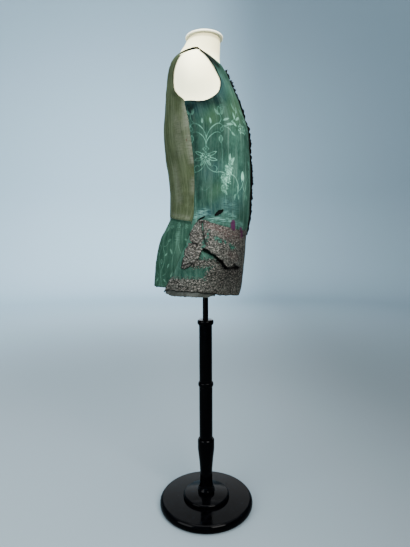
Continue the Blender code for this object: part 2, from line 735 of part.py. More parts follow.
def stand():
    """The sliding rod, the bored column and the round base."""
    rod = [
        (ROD_RADIUS - ROD_BEVEL, ROD_BOTTOM),
        (ROD_RADIUS, ROD_BOTTOM + ROD_BEVEL),
        (ROD_RADIUS, SOCKET_BOTTOM - SEAM_GAP),
    ]
    add_object("rod", turned(rod, ROD_SIDES), BLACK_STEEL)
    clamp = rounded_edge(CLAMP_RADIUS, UPPER_TUBE_TOP, CLAMP_TOP, CLAMP_BEAD)
    add_object("clamp_ring", bored(clamp, ROD_SIDES, BORE_RADIUS, True), BLACK_LACQUER)
    upper = [
        (UPPER_TUBE_RADIUS, MID_RING_TOP + SEAM_GAP),
        (UPPER_TUBE_RADIUS, UPPER_TUBE_TOP - SEAM_GAP),
    ]
    add_object("upper_tube", bored(upper, ROD_SIDES, BORE_RADIUS, True), BLACK_LACQUER)
    ring = rounded_edge(MID_RING_RADIUS, LOWER_TUBE_TOP, MID_RING_TOP, MID_RING_BEAD)
    add_object("mid_ring", bored(ring, ROD_SIDES, BORE_RADIUS, True), BLACK_LACQUER)
    lower = [
        (LOWER_TUBE_RADIUS, VASE_TOP + SEAM_GAP),
        (LOWER_TUBE_RADIUS, LOWER_TUBE_TOP - SEAM_GAP),
    ]
    lower_tube = bored(lower, ROD_SIDES, BORE_RADIUS, False, BORE_FLOOR)
    add_object("lower_tube", lower_tube, BLACK_LACQUER)
    add_object("column_vase", turned(VASE_PROFILE, ROD_SIDES), BLACK_LACQUER)
    disc = [
        (DISC_RADIUS - DISC_EDGE / 2, BASE_THICKNESS + SEAM_GAP),
        (DISC_RADIUS, BASE_THICKNESS + DISC_EDGE),
        (DISC_RADIUS - DISC_EDGE / 4, DISC_TOP - DISC_EDGE),
        (DISC_RADIUS - DISC_EDGE * 1.5, DISC_TOP),
    ]
    add_object("raised_disc", turned(disc, TURNED_SIDES), BLACK_LACQUER)
    base = rounded_edge(BASE_RADIUS, 0.0, BASE_THICKNESS, BASE_BEAD, BASE_EDGE_STEPS)
    add_object("base", turned(base, BASE_SIDES), BLACK_LACQUER)


clear_scene()
garment()
figure()
stand()
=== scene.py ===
"""The looks of a long waistcoat on its limbless dress form and turned stand.

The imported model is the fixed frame. The wearer's front faces +X, the wearer's right side -Y, and
the stand's pole is the Z axis. Angles go round the body from the centre front in degrees, and
"level" is the height of a ring of the body at the wearer's sides. Cloth patterns are laid out in
metres on the cloth itself: u runs round the body from the centre front, v up the body.
"""

import logging
import math
from dataclasses import dataclass, field
from enum import Enum
from typing import Callable, NamedTuple, Sequence

import bpy
import numpy as np
from mathutils import Euler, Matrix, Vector


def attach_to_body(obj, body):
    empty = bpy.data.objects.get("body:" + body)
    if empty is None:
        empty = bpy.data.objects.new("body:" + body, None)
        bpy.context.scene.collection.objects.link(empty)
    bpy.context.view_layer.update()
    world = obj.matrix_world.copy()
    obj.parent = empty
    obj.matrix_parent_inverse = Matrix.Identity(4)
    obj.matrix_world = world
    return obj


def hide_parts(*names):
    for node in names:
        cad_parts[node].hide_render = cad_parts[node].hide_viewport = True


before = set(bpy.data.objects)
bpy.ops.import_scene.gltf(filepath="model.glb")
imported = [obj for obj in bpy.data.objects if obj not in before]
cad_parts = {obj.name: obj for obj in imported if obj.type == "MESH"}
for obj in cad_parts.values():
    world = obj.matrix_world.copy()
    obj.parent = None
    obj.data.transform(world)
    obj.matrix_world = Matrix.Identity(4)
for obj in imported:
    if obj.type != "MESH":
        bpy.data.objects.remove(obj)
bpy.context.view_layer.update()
LOG = logging.getLogger("waistcoat")

Colour = tuple[float, float, float]
Point = tuple[float, float, float]

CLOTH_THICKNESS = 0.0013
CLOTH_IN_FRAME = 0.0016
LAYER_GAP = 0.0009
SEAM_HALF_ANGLE = 0.06
SHOULDER_HALF_ANGLE = 0.14
CLOTH_MAP = "cloth"


class Side(Enum):
    """Which half of the garment a piece belongs to, as the sign of its angles."""

    RIGHT = -1
    LEFT = 1

    @property
    def word(self) -> str:
        """The side's name in a piece's name."""
        return self.name.lower()


class Slot(Enum):
    """The record's material slots."""

    FIGURED_SILK = "figured_silk"
    KHAKI_SATIN = "khaki_satin"
    SKIRT_SILK = "skirt_silk"
    METAL_BROCADE = "metal_brocade"
    DARK_FACING = "dark_facing"
    PALE_LINING = "pale_lining"
    BUTTON_DARK = "button_dark"
    FORM_CREAM = "form_cream"
    CAP_WHITE = "cap_white"
    BLACK_STEEL = "black_steel"
    BLACK_LACQUER = "black_lacquer"


# ---------------------------------------------------------------- the body's surface


class Ring(NamedTuple):
    """One ring of the garment's outer face."""

    level: float
    z_front: float
    z_side: float
    z_back: float
    x_front: float
    x_back: float
    half_width: float
    squareness: float
    fall: float


RINGS = (
    Ring(0.720, 0.720, 0.720, 0.720, 0.1020, -0.1760, 0.193, 2.15, 1.30),
    Ring(0.790, 0.790, 0.790, 0.790, 0.1225, -0.1715, 0.187, 2.15, 1.30),
    Ring(0.850, 0.850, 0.850, 0.850, 0.1287, -0.1672, 0.181, 2.15, 1.30),
    Ring(0.900, 0.900, 0.900, 0.900, 0.1338, -0.1597, 0.174, 2.15, 1.30),
    Ring(0.940, 0.940, 0.940, 0.940, 0.1362, -0.1480, 0.166, 2.15, 1.30),
    Ring(0.975, 0.975, 0.975, 0.975, 0.1406, -0.1300, 0.158, 2.15, 1.30),
    Ring(1.010, 1.010, 1.010, 1.010, 0.1450, -0.1160, 0.152, 2.15, 1.30),
    Ring(1.060, 1.060, 1.060, 1.060, 0.1470, -0.1150, 0.148, 2.15, 1.30),
    Ring(1.130, 1.130, 1.130, 1.130, 0.1490, -0.1190, 0.150, 2.15, 1.30),
    Ring(1.200, 1.200, 1.200, 1.200, 0.1460, -0.1290, 0.156, 2.20, 1.30),
    Ring(1.270, 1.270, 1.270, 1.270, 0.1410, -0.1330, 0.163, 2.25, 1.30),
    Ring(1.340, 1.340, 1.340, 1.340, 0.1185, -0.1280, 0.168, 2.22, 1.30),
    Ring(1.400, 1.396, 1.400, 1.400, 0.0970, -0.1225, 0.170, 2.15, 1.20),
    Ring(1.425, 1.413, 1.425, 1.424, 0.0885, -0.1210, 0.170, 2.12, 1.10),
    Ring(1.450, 1.428, 1.452, 1.448, 0.0815, -0.1175, 0.167, 2.12, 1.00),
    Ring(1.470, 1.438, 1.474, 1.463, 0.0770, -0.1145, 0.160, 2.12, 0.90),
    Ring(1.482, 1.443, 1.487, 1.473, 0.0750, -0.1120, 0.150, 2.10, 0.85),
    Ring(1.492, 1.448, 1.496, 1.485, 0.0730, -0.1085, 0.130, 2.05, 0.80),
    Ring(1.506, 1.454, 1.506, 1.499, 0.0705, -0.1030, 0.100, 2.00, 0.75),
    Ring(1.520, 1.461, 1.515, 1.510, 0.0680, -0.0965, 0.070, 2.00, 0.75),
    Ring(1.532, 1.478, 1.528, 1.525, 0.0600, -0.0865, 0.060, 2.00, 0.80),
    Ring(1.550, 1.510, 1.546, 1.543, 0.0500, -0.0700, 0.0535, 2.00, 1.00),
    Ring(1.572, 1.572, 1.572, 1.572, 0.0510, -0.0520, 0.0520, 2.00, 1.30),
)
BACK_FALL = 1.3


class Wave(NamedTuple):
    """A soft upright wave of the skirts."""

    angle: float
    half_angle: float
    depth: float


SKIRT_WAVES = (
    Wave(154.0, 11.0, 0.0045),
    Wave(74.0, 12.0, 0.0040),
    Wave(48.0, 10.0, -0.0030),
    Wave(26.0, 8.0, 0.0020),
)
WAVE_TOP = 0.975
WAVE_HEIGHT = 0.150


def smooth_step(share: np.ndarray) -> np.ndarray:
    """0 to 1 with level ends."""
    held = np.clip(share, 0.0, 1.0)
    return held * held * (3.0 - 2.0 * held)


class BodySurface:
    """The smooth outer face of the worn garment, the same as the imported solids'."""

    ANGLE_STEP = 0.5
    LEVEL_STEP = 0.002

    def __init__(self, rings: Sequence[Ring]) -> None:
        """Work out the rings' slopes and the lengths round the body.

        Args:
            rings: the rings from below the hem up to the neck.
        """
        self.table = np.array(rings, float)
        steps = np.diff(self.table, axis=0) / np.diff(self.table[:, 0])[:, None]
        product = steps[:-1] * steps[1:]
        total = steps[:-1] + steps[1:]
        safe = np.where(total == 0.0, 1.0, total)
        middle = np.where(product > 0.0, 2.0 * product / safe, 0.0)
        self.slopes = np.vstack([steps[:1], middle, steps[-1:]])
        self.angles = np.arange(0.0, 181.0, 2.0)
        self.levels = np.arange(0.722, 1.5719, 0.01)
        angle, level = np.meshgrid(self.angles, self.levels)
        points = self.point(angle, level)
        pieces = np.linalg.norm(np.diff(points, axis=1), axis=2)
        self.lengths = np.hstack([np.zeros((len(self.levels), 1)), np.cumsum(pieces, axis=1)])

    def ring(self, level: np.ndarray) -> np.ndarray:
        """The ring at each level, its columns last."""
        levels = self.table[:, 0]
        i = np.clip(np.searchsorted(levels, level) - 1, 0, len(levels) - 2)
        span = (levels[i + 1] - levels[i])[..., None]
        t = (level - levels[i])[..., None] / span
        low = (1 + 2 * t) * (1 - t) ** 2 * self.table[i] + t * (1 - t) ** 2 * span * self.slopes[i]
        high = (t * t * (3 - 2 * t) * self.table[i + 1]
                + t * t * (t - 1) * span * self.slopes[i + 1])
        return low + high

    def point(self, angle: np.ndarray, level: np.ndarray) -> np.ndarray:
        """Points of the smooth outer face."""
        ring = Ring(*np.moveaxis(self.ring(level), -1, 0))
        turn = np.radians(angle)
        forward, aside = np.cos(turn), np.sin(turn)
        power = 2.0 / ring.squareness
        middle = (ring.x_front + ring.x_back) / 2
        x = middle + (ring.x_front - ring.x_back) / 2 * np.sign(forward) * np.abs(forward) ** power
        y = ring.half_width * np.sign(aside) * np.abs(aside) ** power
        end = np.where(forward > 0, ring.z_front, ring.z_back)
        fall = np.where(forward > 0, ring.fall, BACK_FALL)
        z = ring.z_side + (end - ring.z_side) * np.abs(forward) ** fall
        return np.stack([x, y, z], axis=-1)

    def normal(self, angle: np.ndarray, level: np.ndarray) -> np.ndarray:
        """Outward directions of the smooth outer face."""
        around = (self.point(angle + self.ANGLE_STEP, level)
                  - self.point(angle - self.ANGLE_STEP, level))
        upward = (self.point(angle, level + self.LEVEL_STEP)
                  - self.point(angle, level - self.LEVEL_STEP))
        normal = np.cross(around, upward)
        return normal / np.linalg.norm(normal, axis=-1, keepdims=True)

    def cloth(self, angle: np.ndarray, level: np.ndarray, lift: np.ndarray) -> np.ndarray:
        """Points of the garment's outer face with its soft waves, moved out by lift.

        Args:
            angle: degrees round the body, negative on the wearer's right.
            level: ring heights.
            lift: metres outwards from the smooth face.

        Returns:
            The points, their coordinates last.
        """
        fall = smooth_step((WAVE_TOP - level) / WAVE_HEIGHT)
        wave_lift = np.zeros_like(level)
        for wave in SKIRT_WAVES:
            share = (np.abs(angle) - wave.angle) / wave.half_angle
            bump = wave.depth * np.cos(share * math.pi / 4) ** 2
            wave_lift = wave_lift + np.where(np.abs(share) < 2.0, bump, 0.0)
        out = (lift + wave_lift * fall)[..., None]
        return self.point(angle, level) + self.normal(angle, level) * out

    def around(self, angle: np.ndarray, level: np.ndarray) -> np.ndarray:
        """Metres round the body from the centre front, without a sign."""
        a = np.clip(np.abs(angle) / 2.0, 0, len(self.angles) - 1.001)
        b = np.clip((level - self.levels[0]) / 0.01, 0, len(self.levels) - 1.001)
        i, j = b.astype(int), a.astype(int)
        s, t = b - i, a - j
        low = self.lengths[i, j] * (1 - t) + self.lengths[i, j + 1] * t
        high = self.lengths[i + 1, j] * (1 - t) + self.lengths[i + 1, j + 1] * t
        return low * (1 - s) + high * s


BODY = BodySurface(RINGS)


# ---------------------------------------------------------------- tables of the cut


class Row(NamedTuple):
    """A line of a right-hand panel from its inner edge to its outer edge."""

    inner_angle: float
    inner_level: float
    outer_angle: float
    outer_level: float


FRONT_ROWS = (
    Row(0.0, 0.749, 131.0, 0.776),
    Row(0.0, 0.790, 126.0, 0.800),
    Row(0.0, 0.840, 117.0, 0.840),
    Row(0.0, 0.885, 110.7, 0.885),
    Row(0.0, 0.943, 106.0, 0.943),
    Row(0.0, 0.995, 110.4, 0.997),
    Row(0.0, 1.060, 110.2, 1.060),
    Row(0.0, 1.127, 108.9, 1.127),
    Row(0.0, 1.190, 107.3, 1.190),
    Row(0.0, 1.245, 108.4, 1.262),
    Row(0.0, 1.264, 110.8, 1.300),
    Row(0.0, 1.285, 113.5, 1.336),
    Row(0.0, 1.312, 102.0, 1.3325),
    Row(0.0, 1.334, 90.0, 1.333),
    Row(0.0, 1.357, 79.0, 1.344),
    Row(0.0, 1.385, 68.0, 1.362),
    Row(0.0, 1.408, 61.0, 1.385),
    Row(0.0, 1.430, 59.0, 1.404),
    Row(0.0, 1.455, 62.0, 1.428),
    Row(0.0, 1.492, 68.0, 1.448),
    Row(0.0, 1.531, 76.0, 1.466),
    Row(30.0, 1.5135, 84.0, 1.477),
    Row(62.0, 1.5175, 93.0, 1.484),
    Row(97.0, 1.522, 103.0, 1.487),
)
BACK_ROWS = (
    Row(180.0, 1.010, 110.6, 0.990),
    Row(180.0, 1.060, 110.2, 1.060),
    Row(180.0, 1.127, 108.9, 1.127),
    Row(180.0, 1.190, 107.3, 1.190),
    Row(180.0, 1.255, 108.4, 1.262),
    Row(180.0, 1.290, 110.8, 1.300),
    Row(180.0, 1.322, 113.5, 1.336),
    Row(180.0, 1.352, 124.3, 1.358),
    Row(180.0, 1.380, 133.2, 1.380),
    Row(180.0, 1.412, 136.3, 1.411),
    Row(180.0, 1.445, 133.0, 1.443),
    Row(180.0, 1.480, 125.3, 1.468),
    Row(180.0, 1.5195, 116.3, 1.481),
    Row(150.0, 1.5205, 109.0, 1.485),
    Row(124.0, 1.5215, 106.0, 1.4865),
    Row(97.0, 1.522, 103.0, 1.487),
)
SKIRT_ROWS = (
    Row(180.0, 0.785, 116.0, 0.7905),
    Row(180.0, 0.840, 108.0, 0.840),
    Row(180.0, 0.900, 101.5, 0.895),
    Row(180.0, 0.940, 99.0, 0.935),
    Row(180.0, 0.966, 103.0, 0.960),
    Row(180.0, 0.988, 107.2, 0.974),
    Row(180.0, 1.0035, 110.9, 0.9835),
    Row(180.0, 1.0095, 110.9, 0.9893),
)
LINING_ROWS = (
    Row(69.0, 0.768, 130.0, 0.7715),
    Row(69.0, 0.776, 130.0, 0.7785),
    Row(69.0, 0.7865, 130.0, 0.7865),
)
POCKET_ROWS = (
    Row(68.0, 0.990, 106.5, 0.984),
    Row(68.0, 1.036, 106.5, 1.020),
)
SKIRT_SEAM = 1.0095
SKIRT_TUCK = 0.006


class Column(NamedTuple):
    """A line of the pocket flap from its seam down to its free edge."""

    top_angle: float
    top_level: float
    low_angle: float
    low_level: float
    lift: float


FLAP_COLUMNS = (
    Column(106.0, 0.958, 108.5, 0.852, 0.0022),
    Column(103.5, 0.985, 104.0, 0.848, 0.0030),
    Column(97.0, 0.993, 96.5, 0.862, 0.0034),
    Column(91.0, 0.990, 91.0, 0.880, 0.0026),
    Column(87.0, 0.985, 88.0, 0.907, 0.0020),
    Column(81.0, 0.981, 81.5, 0.898, 0.0060),
    Column(75.0, 0.977, 74.5, 0.885, 0.0095),
    Column(68.0, 0.973, 68.0, 0.870, 0.0115),
    Column(61.0, 0.970, 61.5, 0.853, 0.0105),
    Column(54.0, 0.967, 55.0, 0.852, 0.0080),
    Column(47.5, 0.965, 48.0, 0.859, 0.0055),
    Column(40.0, 0.963, 41.0, 0.851, 0.0046),
    Column(33.0, 0.961, 34.0, 0.850, 0.0036),
)


class Fold(NamedTuple):
    """A soft ridge (or, with a negative height, a trough) along a line on the cloth."""

    start_angle: float
    start_level: float
    end_angle: float
    end_level: float
    width: float
    height: float


FRONT_FOLDS = (
    Fold(88.0, 0.9940, 60.0, 0.9900, 0.0040, 0.0013),
    Fold(85.0, 1.0005, 57.0, 0.9975, 0.0035, -0.0011),
    Fold(80.0, 0.9865, 56.0, 0.9820, 0.0035, -0.0009),
    Fold(74.0, 1.0060, 50.0, 1.0050, 0.0050, 0.0008),
    Fold(106.0, 1.062, 84.0, 1.052, 0.0080, -0.0009),
    Fold(107.0, 1.085, 92.0, 1.078, 0.0070, 0.0007),
    Fold(90.0, 1.030, 92.0, 1.150, 0.0100, 0.0008),
    Fold(81.0, 1.025, 79.0, 1.110, 0.0075, -0.0007),
    Fold(68.0, 1.030, 66.0, 1.120, 0.0110, 0.0007),
    Fold(60.0, 0.850, 55.0, 0.765, 0.0120, 0.0024),
    Fold(82.0, 0.850, 86.0, 0.775, 0.0130, -0.0020),
    Fold(100.0, 0.870, 108.0, 0.785, 0.0150, 0.0022),
    Fold(30.0, 0.880, 28.0, 0.760, 0.0130, 0.0014),
    Fold(52.0, 1.395, 84.0, 1.330, 0.0140, -0.0011),
    Fold(48.0, 1.360, 90.0, 1.305, 0.0160, 0.0009),
)
BACK_FOLDS = (
    Fold(118.0, 1.040, 140.0, 1.052, 0.0080, -0.0009),
    Fold(115.0, 1.075, 136.0, 1.082, 0.0080, 0.0008),
    Fold(150.0, 1.040, 148.0, 1.200, 0.0120, 0.0009),
    Fold(166.0, 1.050, 165.0, 1.260, 0.0120, -0.0008),
    Fold(124.0, 1.080, 121.0, 1.290, 0.0110, 0.0008),
    Fold(134.0, 1.340, 150.0, 1.240, 0.0130, -0.0012),
    Fold(150.0, 1.400, 172.0, 1.380, 0.0150, 0.0008),
)
SKIRT_FOLDS = (
    Fold(120.0, 0.983, 150.0, 0.992, 0.0030, 0.0007),
    Fold(118.0, 0.973, 158.0, 0.983, 0.0030, -0.0008),
    Fold(116.0, 0.964, 154.0, 0.973, 0.0030, 0.0007),
    Fold(119.0, 0.955, 146.0, 0.961, 0.0030, -0.0006),
    Fold(121.0, 0.946, 140.0, 0.950, 0.0035, 0.0006),
    Fold(140.0, 0.940, 134.0, 0.795, 0.0140, -0.0024),
    Fold(168.0, 0.960, 170.0, 0.790, 0.0140, -0.0020),
    Fold(122.0, 0.930, 118.0, 0.800, 0.0110, 0.0016),
)
FLAP_FOLDS = (
    Fold(96.6, 0.988, 87.5, 0.922, 0.0026, -0.0030),
    Fold(94.0, 0.988, 85.5, 0.930, 0.0034, 0.0022),
    Fold(104.0, 0.929, 93.5, 0.918, 0.0024, -0.0024),
    Fold(104.5, 0.923, 94.0, 0.912, 0.0034, 0.0013),
    Fold(100.0, 0.975, 99.0, 0.935, 0.0050, 0.0013),
    Fold(75.0, 0.925, 71.0, 0.876, 0.0045, 0.0018),
    Fold(67.0, 0.920, 66.0, 0.868, 0.0045, -0.0020),
    Fold(60.0, 0.925, 60.5, 0.858, 0.0050, 0.0018),
    Fold(53.5, 0.905, 54.5, 0.856, 0.0040, -0.0016),
    Fold(47.0, 0.920, 48.5, 0.862, 0.0045, 0.0014),
    Fold(80.0, 0.960, 64.0, 0.950, 0.0060, 0.0014),
    Fold(62.0, 0.938, 45.0, 0.930, 0.0050, -0.0014),
)
LINING_FOLDS = (
    Fold(78.0, 0.790, 80.0, 0.762, 0.0070, -0.0016),
    Fold(90.0, 0.790, 88.0, 0.762, 0.0080, 0.0014),
    Fold(101.0, 0.790, 103.0, 0.762, 0.0070, -0.0016),
    Fold(113.0, 0.790, 112.0, 0.762, 0.0080, 0.0014),
    Fold(123.0, 0.790, 125.0, 0.765, 0.0060, -0.0012),
)


class Patch(NamedTuple):
    """An area of the cloth round a line: worn, soiled, woven another way, or given painted shade or
    light.
    """

    start_angle: float
    start_level: float
    end_angle: float
    end_level: float
    radius: float
    strength: float = 1.0


FRONT_BROCADE = (
    Patch(126.0, 0.798, 66.0, 0.795, 0.024),
    Patch(62.0, 0.812, 0.0, 0.805, 0.058),
    Patch(95.0, 0.864, 66.0, 0.868, 0.012),
    Patch(26.0, 0.908, 0.0, 0.905, 0.058),
)
FRONT_COOL = (
    Patch(106.0, 1.322, 78.0, 1.326, 0.030, 0.75),
    Patch(66.0, 1.355, 60.0, 1.400, 0.022, 0.8),
    Patch(78.0, 1.040, 64.0, 1.035, 0.030, 0.7),
    Patch(92.0, 1.130, 84.0, 1.150, 0.022, 0.5),
    Patch(101.0, 1.010, 90.0, 1.015, 0.014, 0.8),
    Patch(46.0, 1.120, 44.0, 1.040, 0.018, 0.3),
    Patch(50.0, 1.310, 36.0, 1.330, 0.040, -0.9),
    Patch(84.0, 1.285, 80.0, 1.312, 0.022, -1.0),
    Patch(86.0, 1.060, 82.0, 1.080, 0.022, -0.6),
)
FRONT_WORN = (
    Patch(106.0, 1.006, 96.0, 1.016, 0.012, 0.9),
    Patch(88.0, 0.9960, 62.0, 0.9890, 0.0090, 0.85),
    Patch(70.0, 1.0110, 56.0, 1.0030, 0.0070, 0.6),
    Patch(54.0, 0.9860, 38.0, 0.9770, 0.0100, 0.4),
    Patch(70.0, 1.040, 60.0, 1.030, 0.020, 0.35),
    Patch(100.0, 0.880, 92.0, 0.905, 0.010, 0.2),
)
# Painted shading of the front: positive strengths paint shade under and beside the pocket flap, near
# the hem, below the armhole, beside the side seam and along the strap; negative ones paint light on
# the chest.
FRONT_PAINTED_SHADING = (
    Patch(102.0, 1.5000, 86.0, 1.4920, 0.018, 1.2),
    Patch(85.0, 1.4910, 73.0, 1.4740, 0.018, 1.2),
    Patch(71.0, 1.4720, 58.0, 1.4540, 0.016, 1.1),
    Patch(106.0, 1.325, 74.0, 1.336, 0.024, 0.65),
    Patch(107.0, 1.310, 104.0, 1.060, 0.012, 0.45),
    Patch(56.0, 1.410, 44.0, 1.370, 0.030, -0.46),
    Patch(52.0, 1.250, 42.0, 1.080, 0.044, -0.66),
    Patch(78.0, 1.140, 58.0, 1.100, 0.036, -0.52),
    Patch(95.0, 1.250, 86.0, 1.130, 0.034, 0.18),
    Patch(70.0, 0.818, 8.0, 0.815, 0.042, 0.42),
    Patch(112.0, 0.838, 84.0, 0.845, 0.012, 0.20),
    Patch(88.0, 0.905, 73.0, 0.884, 0.0048, 0.95),
    Patch(73.0, 0.884, 60.0, 0.853, 0.0048, 0.95),
    Patch(60.0, 0.851, 36.0, 0.846, 0.0048, 0.9),
    Patch(86.0, 0.925, 85.0, 0.905, 0.010, 0.60),
    Patch(125.0, 0.783, 72.0, 0.778, 0.005, 0.5),
)
FRONT_STAIN = (
    Patch(57.0, 0.9850, 55.0, 0.9690, 0.0092, 1.25),
    Patch(39.5, 0.9660, 36.0, 0.9450, 0.0075, 1.1),
)
FRONT_VINE = (
    Patch(92.0, 1.190, 60.0, 1.140, 0.075, 1.0),
    Patch(98.0, 1.270, 50.0, 1.280, 0.050, 0.85),
    Patch(44.0, 1.330, 38.0, 1.100, 0.040, 0.5),
    Patch(68.0, 1.155, 64.0, 1.085, 0.026, 0.35),
    Patch(98.0, 0.900, 75.0, 0.850, 0.030, 0.3),
    Patch(94.0, 1.060, 76.0, 1.060, 0.030, 0.25),
)
FLAP_GREEN = (
    Patch(76.0, 0.937, 71.5, 0.931, 0.0065),
    Patch(66.0, 0.930, 64.0, 0.926, 0.0030),
    Patch(57.0, 0.915, 52.0, 0.909, 0.0070),
    Patch(86.5, 0.962, 86.0, 0.935, 0.0022),
    Patch(88.0, 0.930, 88.5, 0.912, 0.0050),
)
FLAP_PINK = (
    Patch(66.0, 0.955, 38.0, 0.945, 0.018, 0.7),
    Patch(88.0, 0.975, 76.0, 0.965, 0.012, 0.6),
    Patch(100.0, 0.945, 97.0, 0.900, 0.018, 0.15),
    Patch(58.0, 0.890, 46.0, 0.880, 0.012, 0.4),
)
# Painted shade on the flap: in its creases and near its edges.
FLAP_PAINTED_SHADING = (
    Patch(97.0, 0.988, 87.0, 0.922, 0.0030, 0.90),
    Patch(104.0, 0.929, 93.5, 0.918, 0.0027, 0.90),
    Patch(108.0, 0.856, 97.0, 0.866, 0.0030, 0.7),
    Patch(106.0, 0.950, 108.0, 0.870, 0.0040, 0.5),
    Patch(100.0, 0.970, 99.0, 0.870, 0.0300, 0.16),
    Patch(67.0, 0.905, 66.0, 0.870, 0.0030, 0.4),
    Patch(42.0, 0.950, 38.0, 0.860, 0.010, 0.35),
)
BACK_WORN = (
    Patch(112.0, 1.320, 111.0, 1.270, 0.014, 0.9),
    Patch(109.5, 1.235, 109.0, 1.170, 0.012, 0.8),
    Patch(111.0, 1.110, 112.0, 1.080, 0.010, 0.5),
    Patch(128.0, 1.290, 124.0, 1.200, 0.020, 0.35),
    Patch(140.0, 1.150, 136.0, 1.060, 0.018, 0.35),
    Patch(118.0, 1.000, 150.0, 1.012, 0.008, 0.35),
)
# Painted shade on the back: along the centre-back seam and near the armhole.
BACK_PAINTED_SHADING = (
    Patch(176.0, 1.480, 176.0, 1.030, 0.016, 0.30),
    Patch(136.0, 1.370, 122.0, 1.345, 0.010, 0.35),
    Patch(150.0, 1.440, 140.0, 1.330, 0.030, 0.2),
)
BACK_STAIN = (
    Patch(113.6, 1.2290, 113.2, 1.2230, 0.0022, 0.7),
    Patch(126.0, 1.180, 125.0, 1.170, 0.0040, 0.25),
)
SKIRT_WORN = (
    Patch(125.0, 0.960, 122.0, 0.930, 0.010, 0.5),
    Patch(150.0, 0.985, 160.0, 0.960, 0.012, 0.4),
    Patch(160.0, 0.830, 140.0, 0.800, 0.020, 0.25),
)
# Painted shade on the back skirt: beside the front's free rear edge, in the centre-back vent and
# just under the waist seam.
SKIRT_PAINTED_SHADING = (
    Patch(103.0, 0.955, 100.0, 0.900, 0.012, 0.8),
    Patch(104.0, 0.890, 118.0, 0.800, 0.010, 0.7),
    Patch(178.0, 0.980, 178.0, 0.800, 0.008, 0.35),
    Patch(112.0, 0.985, 160.0, 1.004, 0.004, 0.5),
)


class Dip(NamedTuple):
    """How far a hem rises at a share of its length."""

    share: float
    rise: float


HEM_DIPS = (Dip(0.0, 0.0), Dip(0.2, 0.003), Dip(0.43, 0.007), Dip(0.6, 0.011),
            Dip(0.75, 0.013), Dip(0.86, 0.010), Dip(0.95, 0.010), Dip(1.0, 0.0))
LINING_DIPS = (Dip(0.0, 0.0), Dip(0.2, -0.004), Dip(0.5, -0.003), Dip(0.8, -0.004), Dip(1.0, 0.0))
FLAT_DIPS = (Dip(0.0, 0.0), Dip(1.0, 0.0))
HEM_FADE = 0.05


class Rip(NamedTuple):
    """A torn opening along a line, its width across the line."""

    start_angle: float
    start_level: float
    end_angle: float
    end_level: float
    width: float


RIPS = (
    Rip(103.2, 0.9905, 95.0, 1.0035, 0.0058),
    Rip(84.5, 1.0055, 74.0, 1.0235, 0.0120),
)


def eased(table: Sequence[tuple[float, float]], key: np.ndarray) -> np.ndarray:
    """The second column of a short table at keys in its first, eased between rows."""
    keys = np.array([row[0] for row in table])
    values = np.array([row[1] for row in table])
    i = np.clip(np.searchsorted(keys, key) - 1, 0, len(keys) - 2)
    share = (key - keys[i]) / (keys[i + 1] - keys[i])
    return values[i] + (values[i + 1] - values[i]) * smooth_step(share)


def catmull(table: np.ndarray, counts: Sequence[int], held: bool = True) -> np.ndarray:
    """Rows between a table's rows, on a smooth curve through them.

    Args:
        table: the rows to pass through.
        counts: how many rows each interval becomes.
        held: keep every value between its neighbours in the table.

    Returns:
        The denser table.
    """
    result = []
    last = len(table) - 1
    for i in range(last):
        before, start = table[max(i - 1, 0)], table[i]
        end, after = table[i + 1], table[min(i + 2, last)]
        for k in range(counts[i]):
            t = k / counts[i]
            bend = 0.5 * ((end - before) * t + (2 * before - 5 * start + 4 * end - after) * t * t
                          + (3 * start - before - 3 * end + after) * t ** 3)
            row = start + bend
            if held:
                row = np.clip(row, np.minimum(start, end), np.maximum(start, end))
            result.append(row)
    result.append(table[last])
    return np.array(result)


def line_distance(u: np.ndarray, v: np.ndarray, line: tuple[float, ...]) -> tuple:
    """Distance of cloth places from a line given in degrees and levels.

    Args:
        u: metres round the body.
        v: metres up the body.
        line: start angle, start level, end angle, end level.

    Returns:
        The distance, and the share along the line of the nearest point.
    """
    angles = np.array([line[0], line[2]])
    levels = np.array([line[1], line[3]])
    ends = BODY.around(angles, levels)
    du, dv = ends[1] - ends[0], levels[1] - levels[0]
    share = ((u - ends[0]) * du + (v - levels[0]) * dv) / (du * du + dv * dv + 1e-12)
    share = np.clip(share, 0.0, 1.0)
    return np.hypot(u - ends[0] - share * du, v - levels[0] - share * dv), share


def soft_field(patches: Sequence[Patch], u: np.ndarray, v: np.ndarray) -> np.ndarray:
    """The patches' strengths, fading out from their lines."""
    total = np.zeros_like(u)
    for patch in patches:
        distance, _ = line_distance(u, v, patch[:4])
        total = total + patch.strength * np.exp(-(distance / patch.radius) ** 2)
    return total


def edge_field(patches: Sequence[Patch], u: np.ndarray, v: np.ndarray) -> np.ndarray:
    """Metres inside the nearest patch's edge, negative outside all of them."""
    field_value = np.full_like(u, -0.05)
    for patch in patches:
        distance, _ = line_distance(u, v, patch[:4])
        field_value = np.maximum(field_value, patch.radius - distance)
    return field_value


def fold_lift(folds: Sequence[Fold], u: np.ndarray, v: np.ndarray) -> np.ndarray:
    """How far the folds raise or lower the cloth."""
    total = np.zeros_like(u)
    for fold in folds:
        distance, share = line_distance(u, v, fold[:4])
        taper = np.sqrt(np.clip(4.0 * (share + 0.05) * (1.05 - share), 0.0, 1.0))
        total = total + fold.height * taper * np.exp(-(distance / fold.width) ** 2)
    return total


def unevenness(u: np.ndarray, v: np.ndarray, seed: int, shortest: float, longest: float,
               count: int) -> np.ndarray:
    """A soft random relief between about -1 and 1, the same for the same seed."""
    draw = np.random.default_rng(seed)
    total = np.zeros_like(u)
    for _ in range(count):
        length = shortest + (longest - shortest) * draw.random()
        turn = draw.random() * 2 * math.pi
        phase = draw.random() * 2 * math.pi
        total += np.sin((u * math.cos(turn) + v * math.sin(turn)) * 2 * math.pi / length + phase)
    return total / math.sqrt(count)


# ---------------------------------------------------------------- modelling by hand


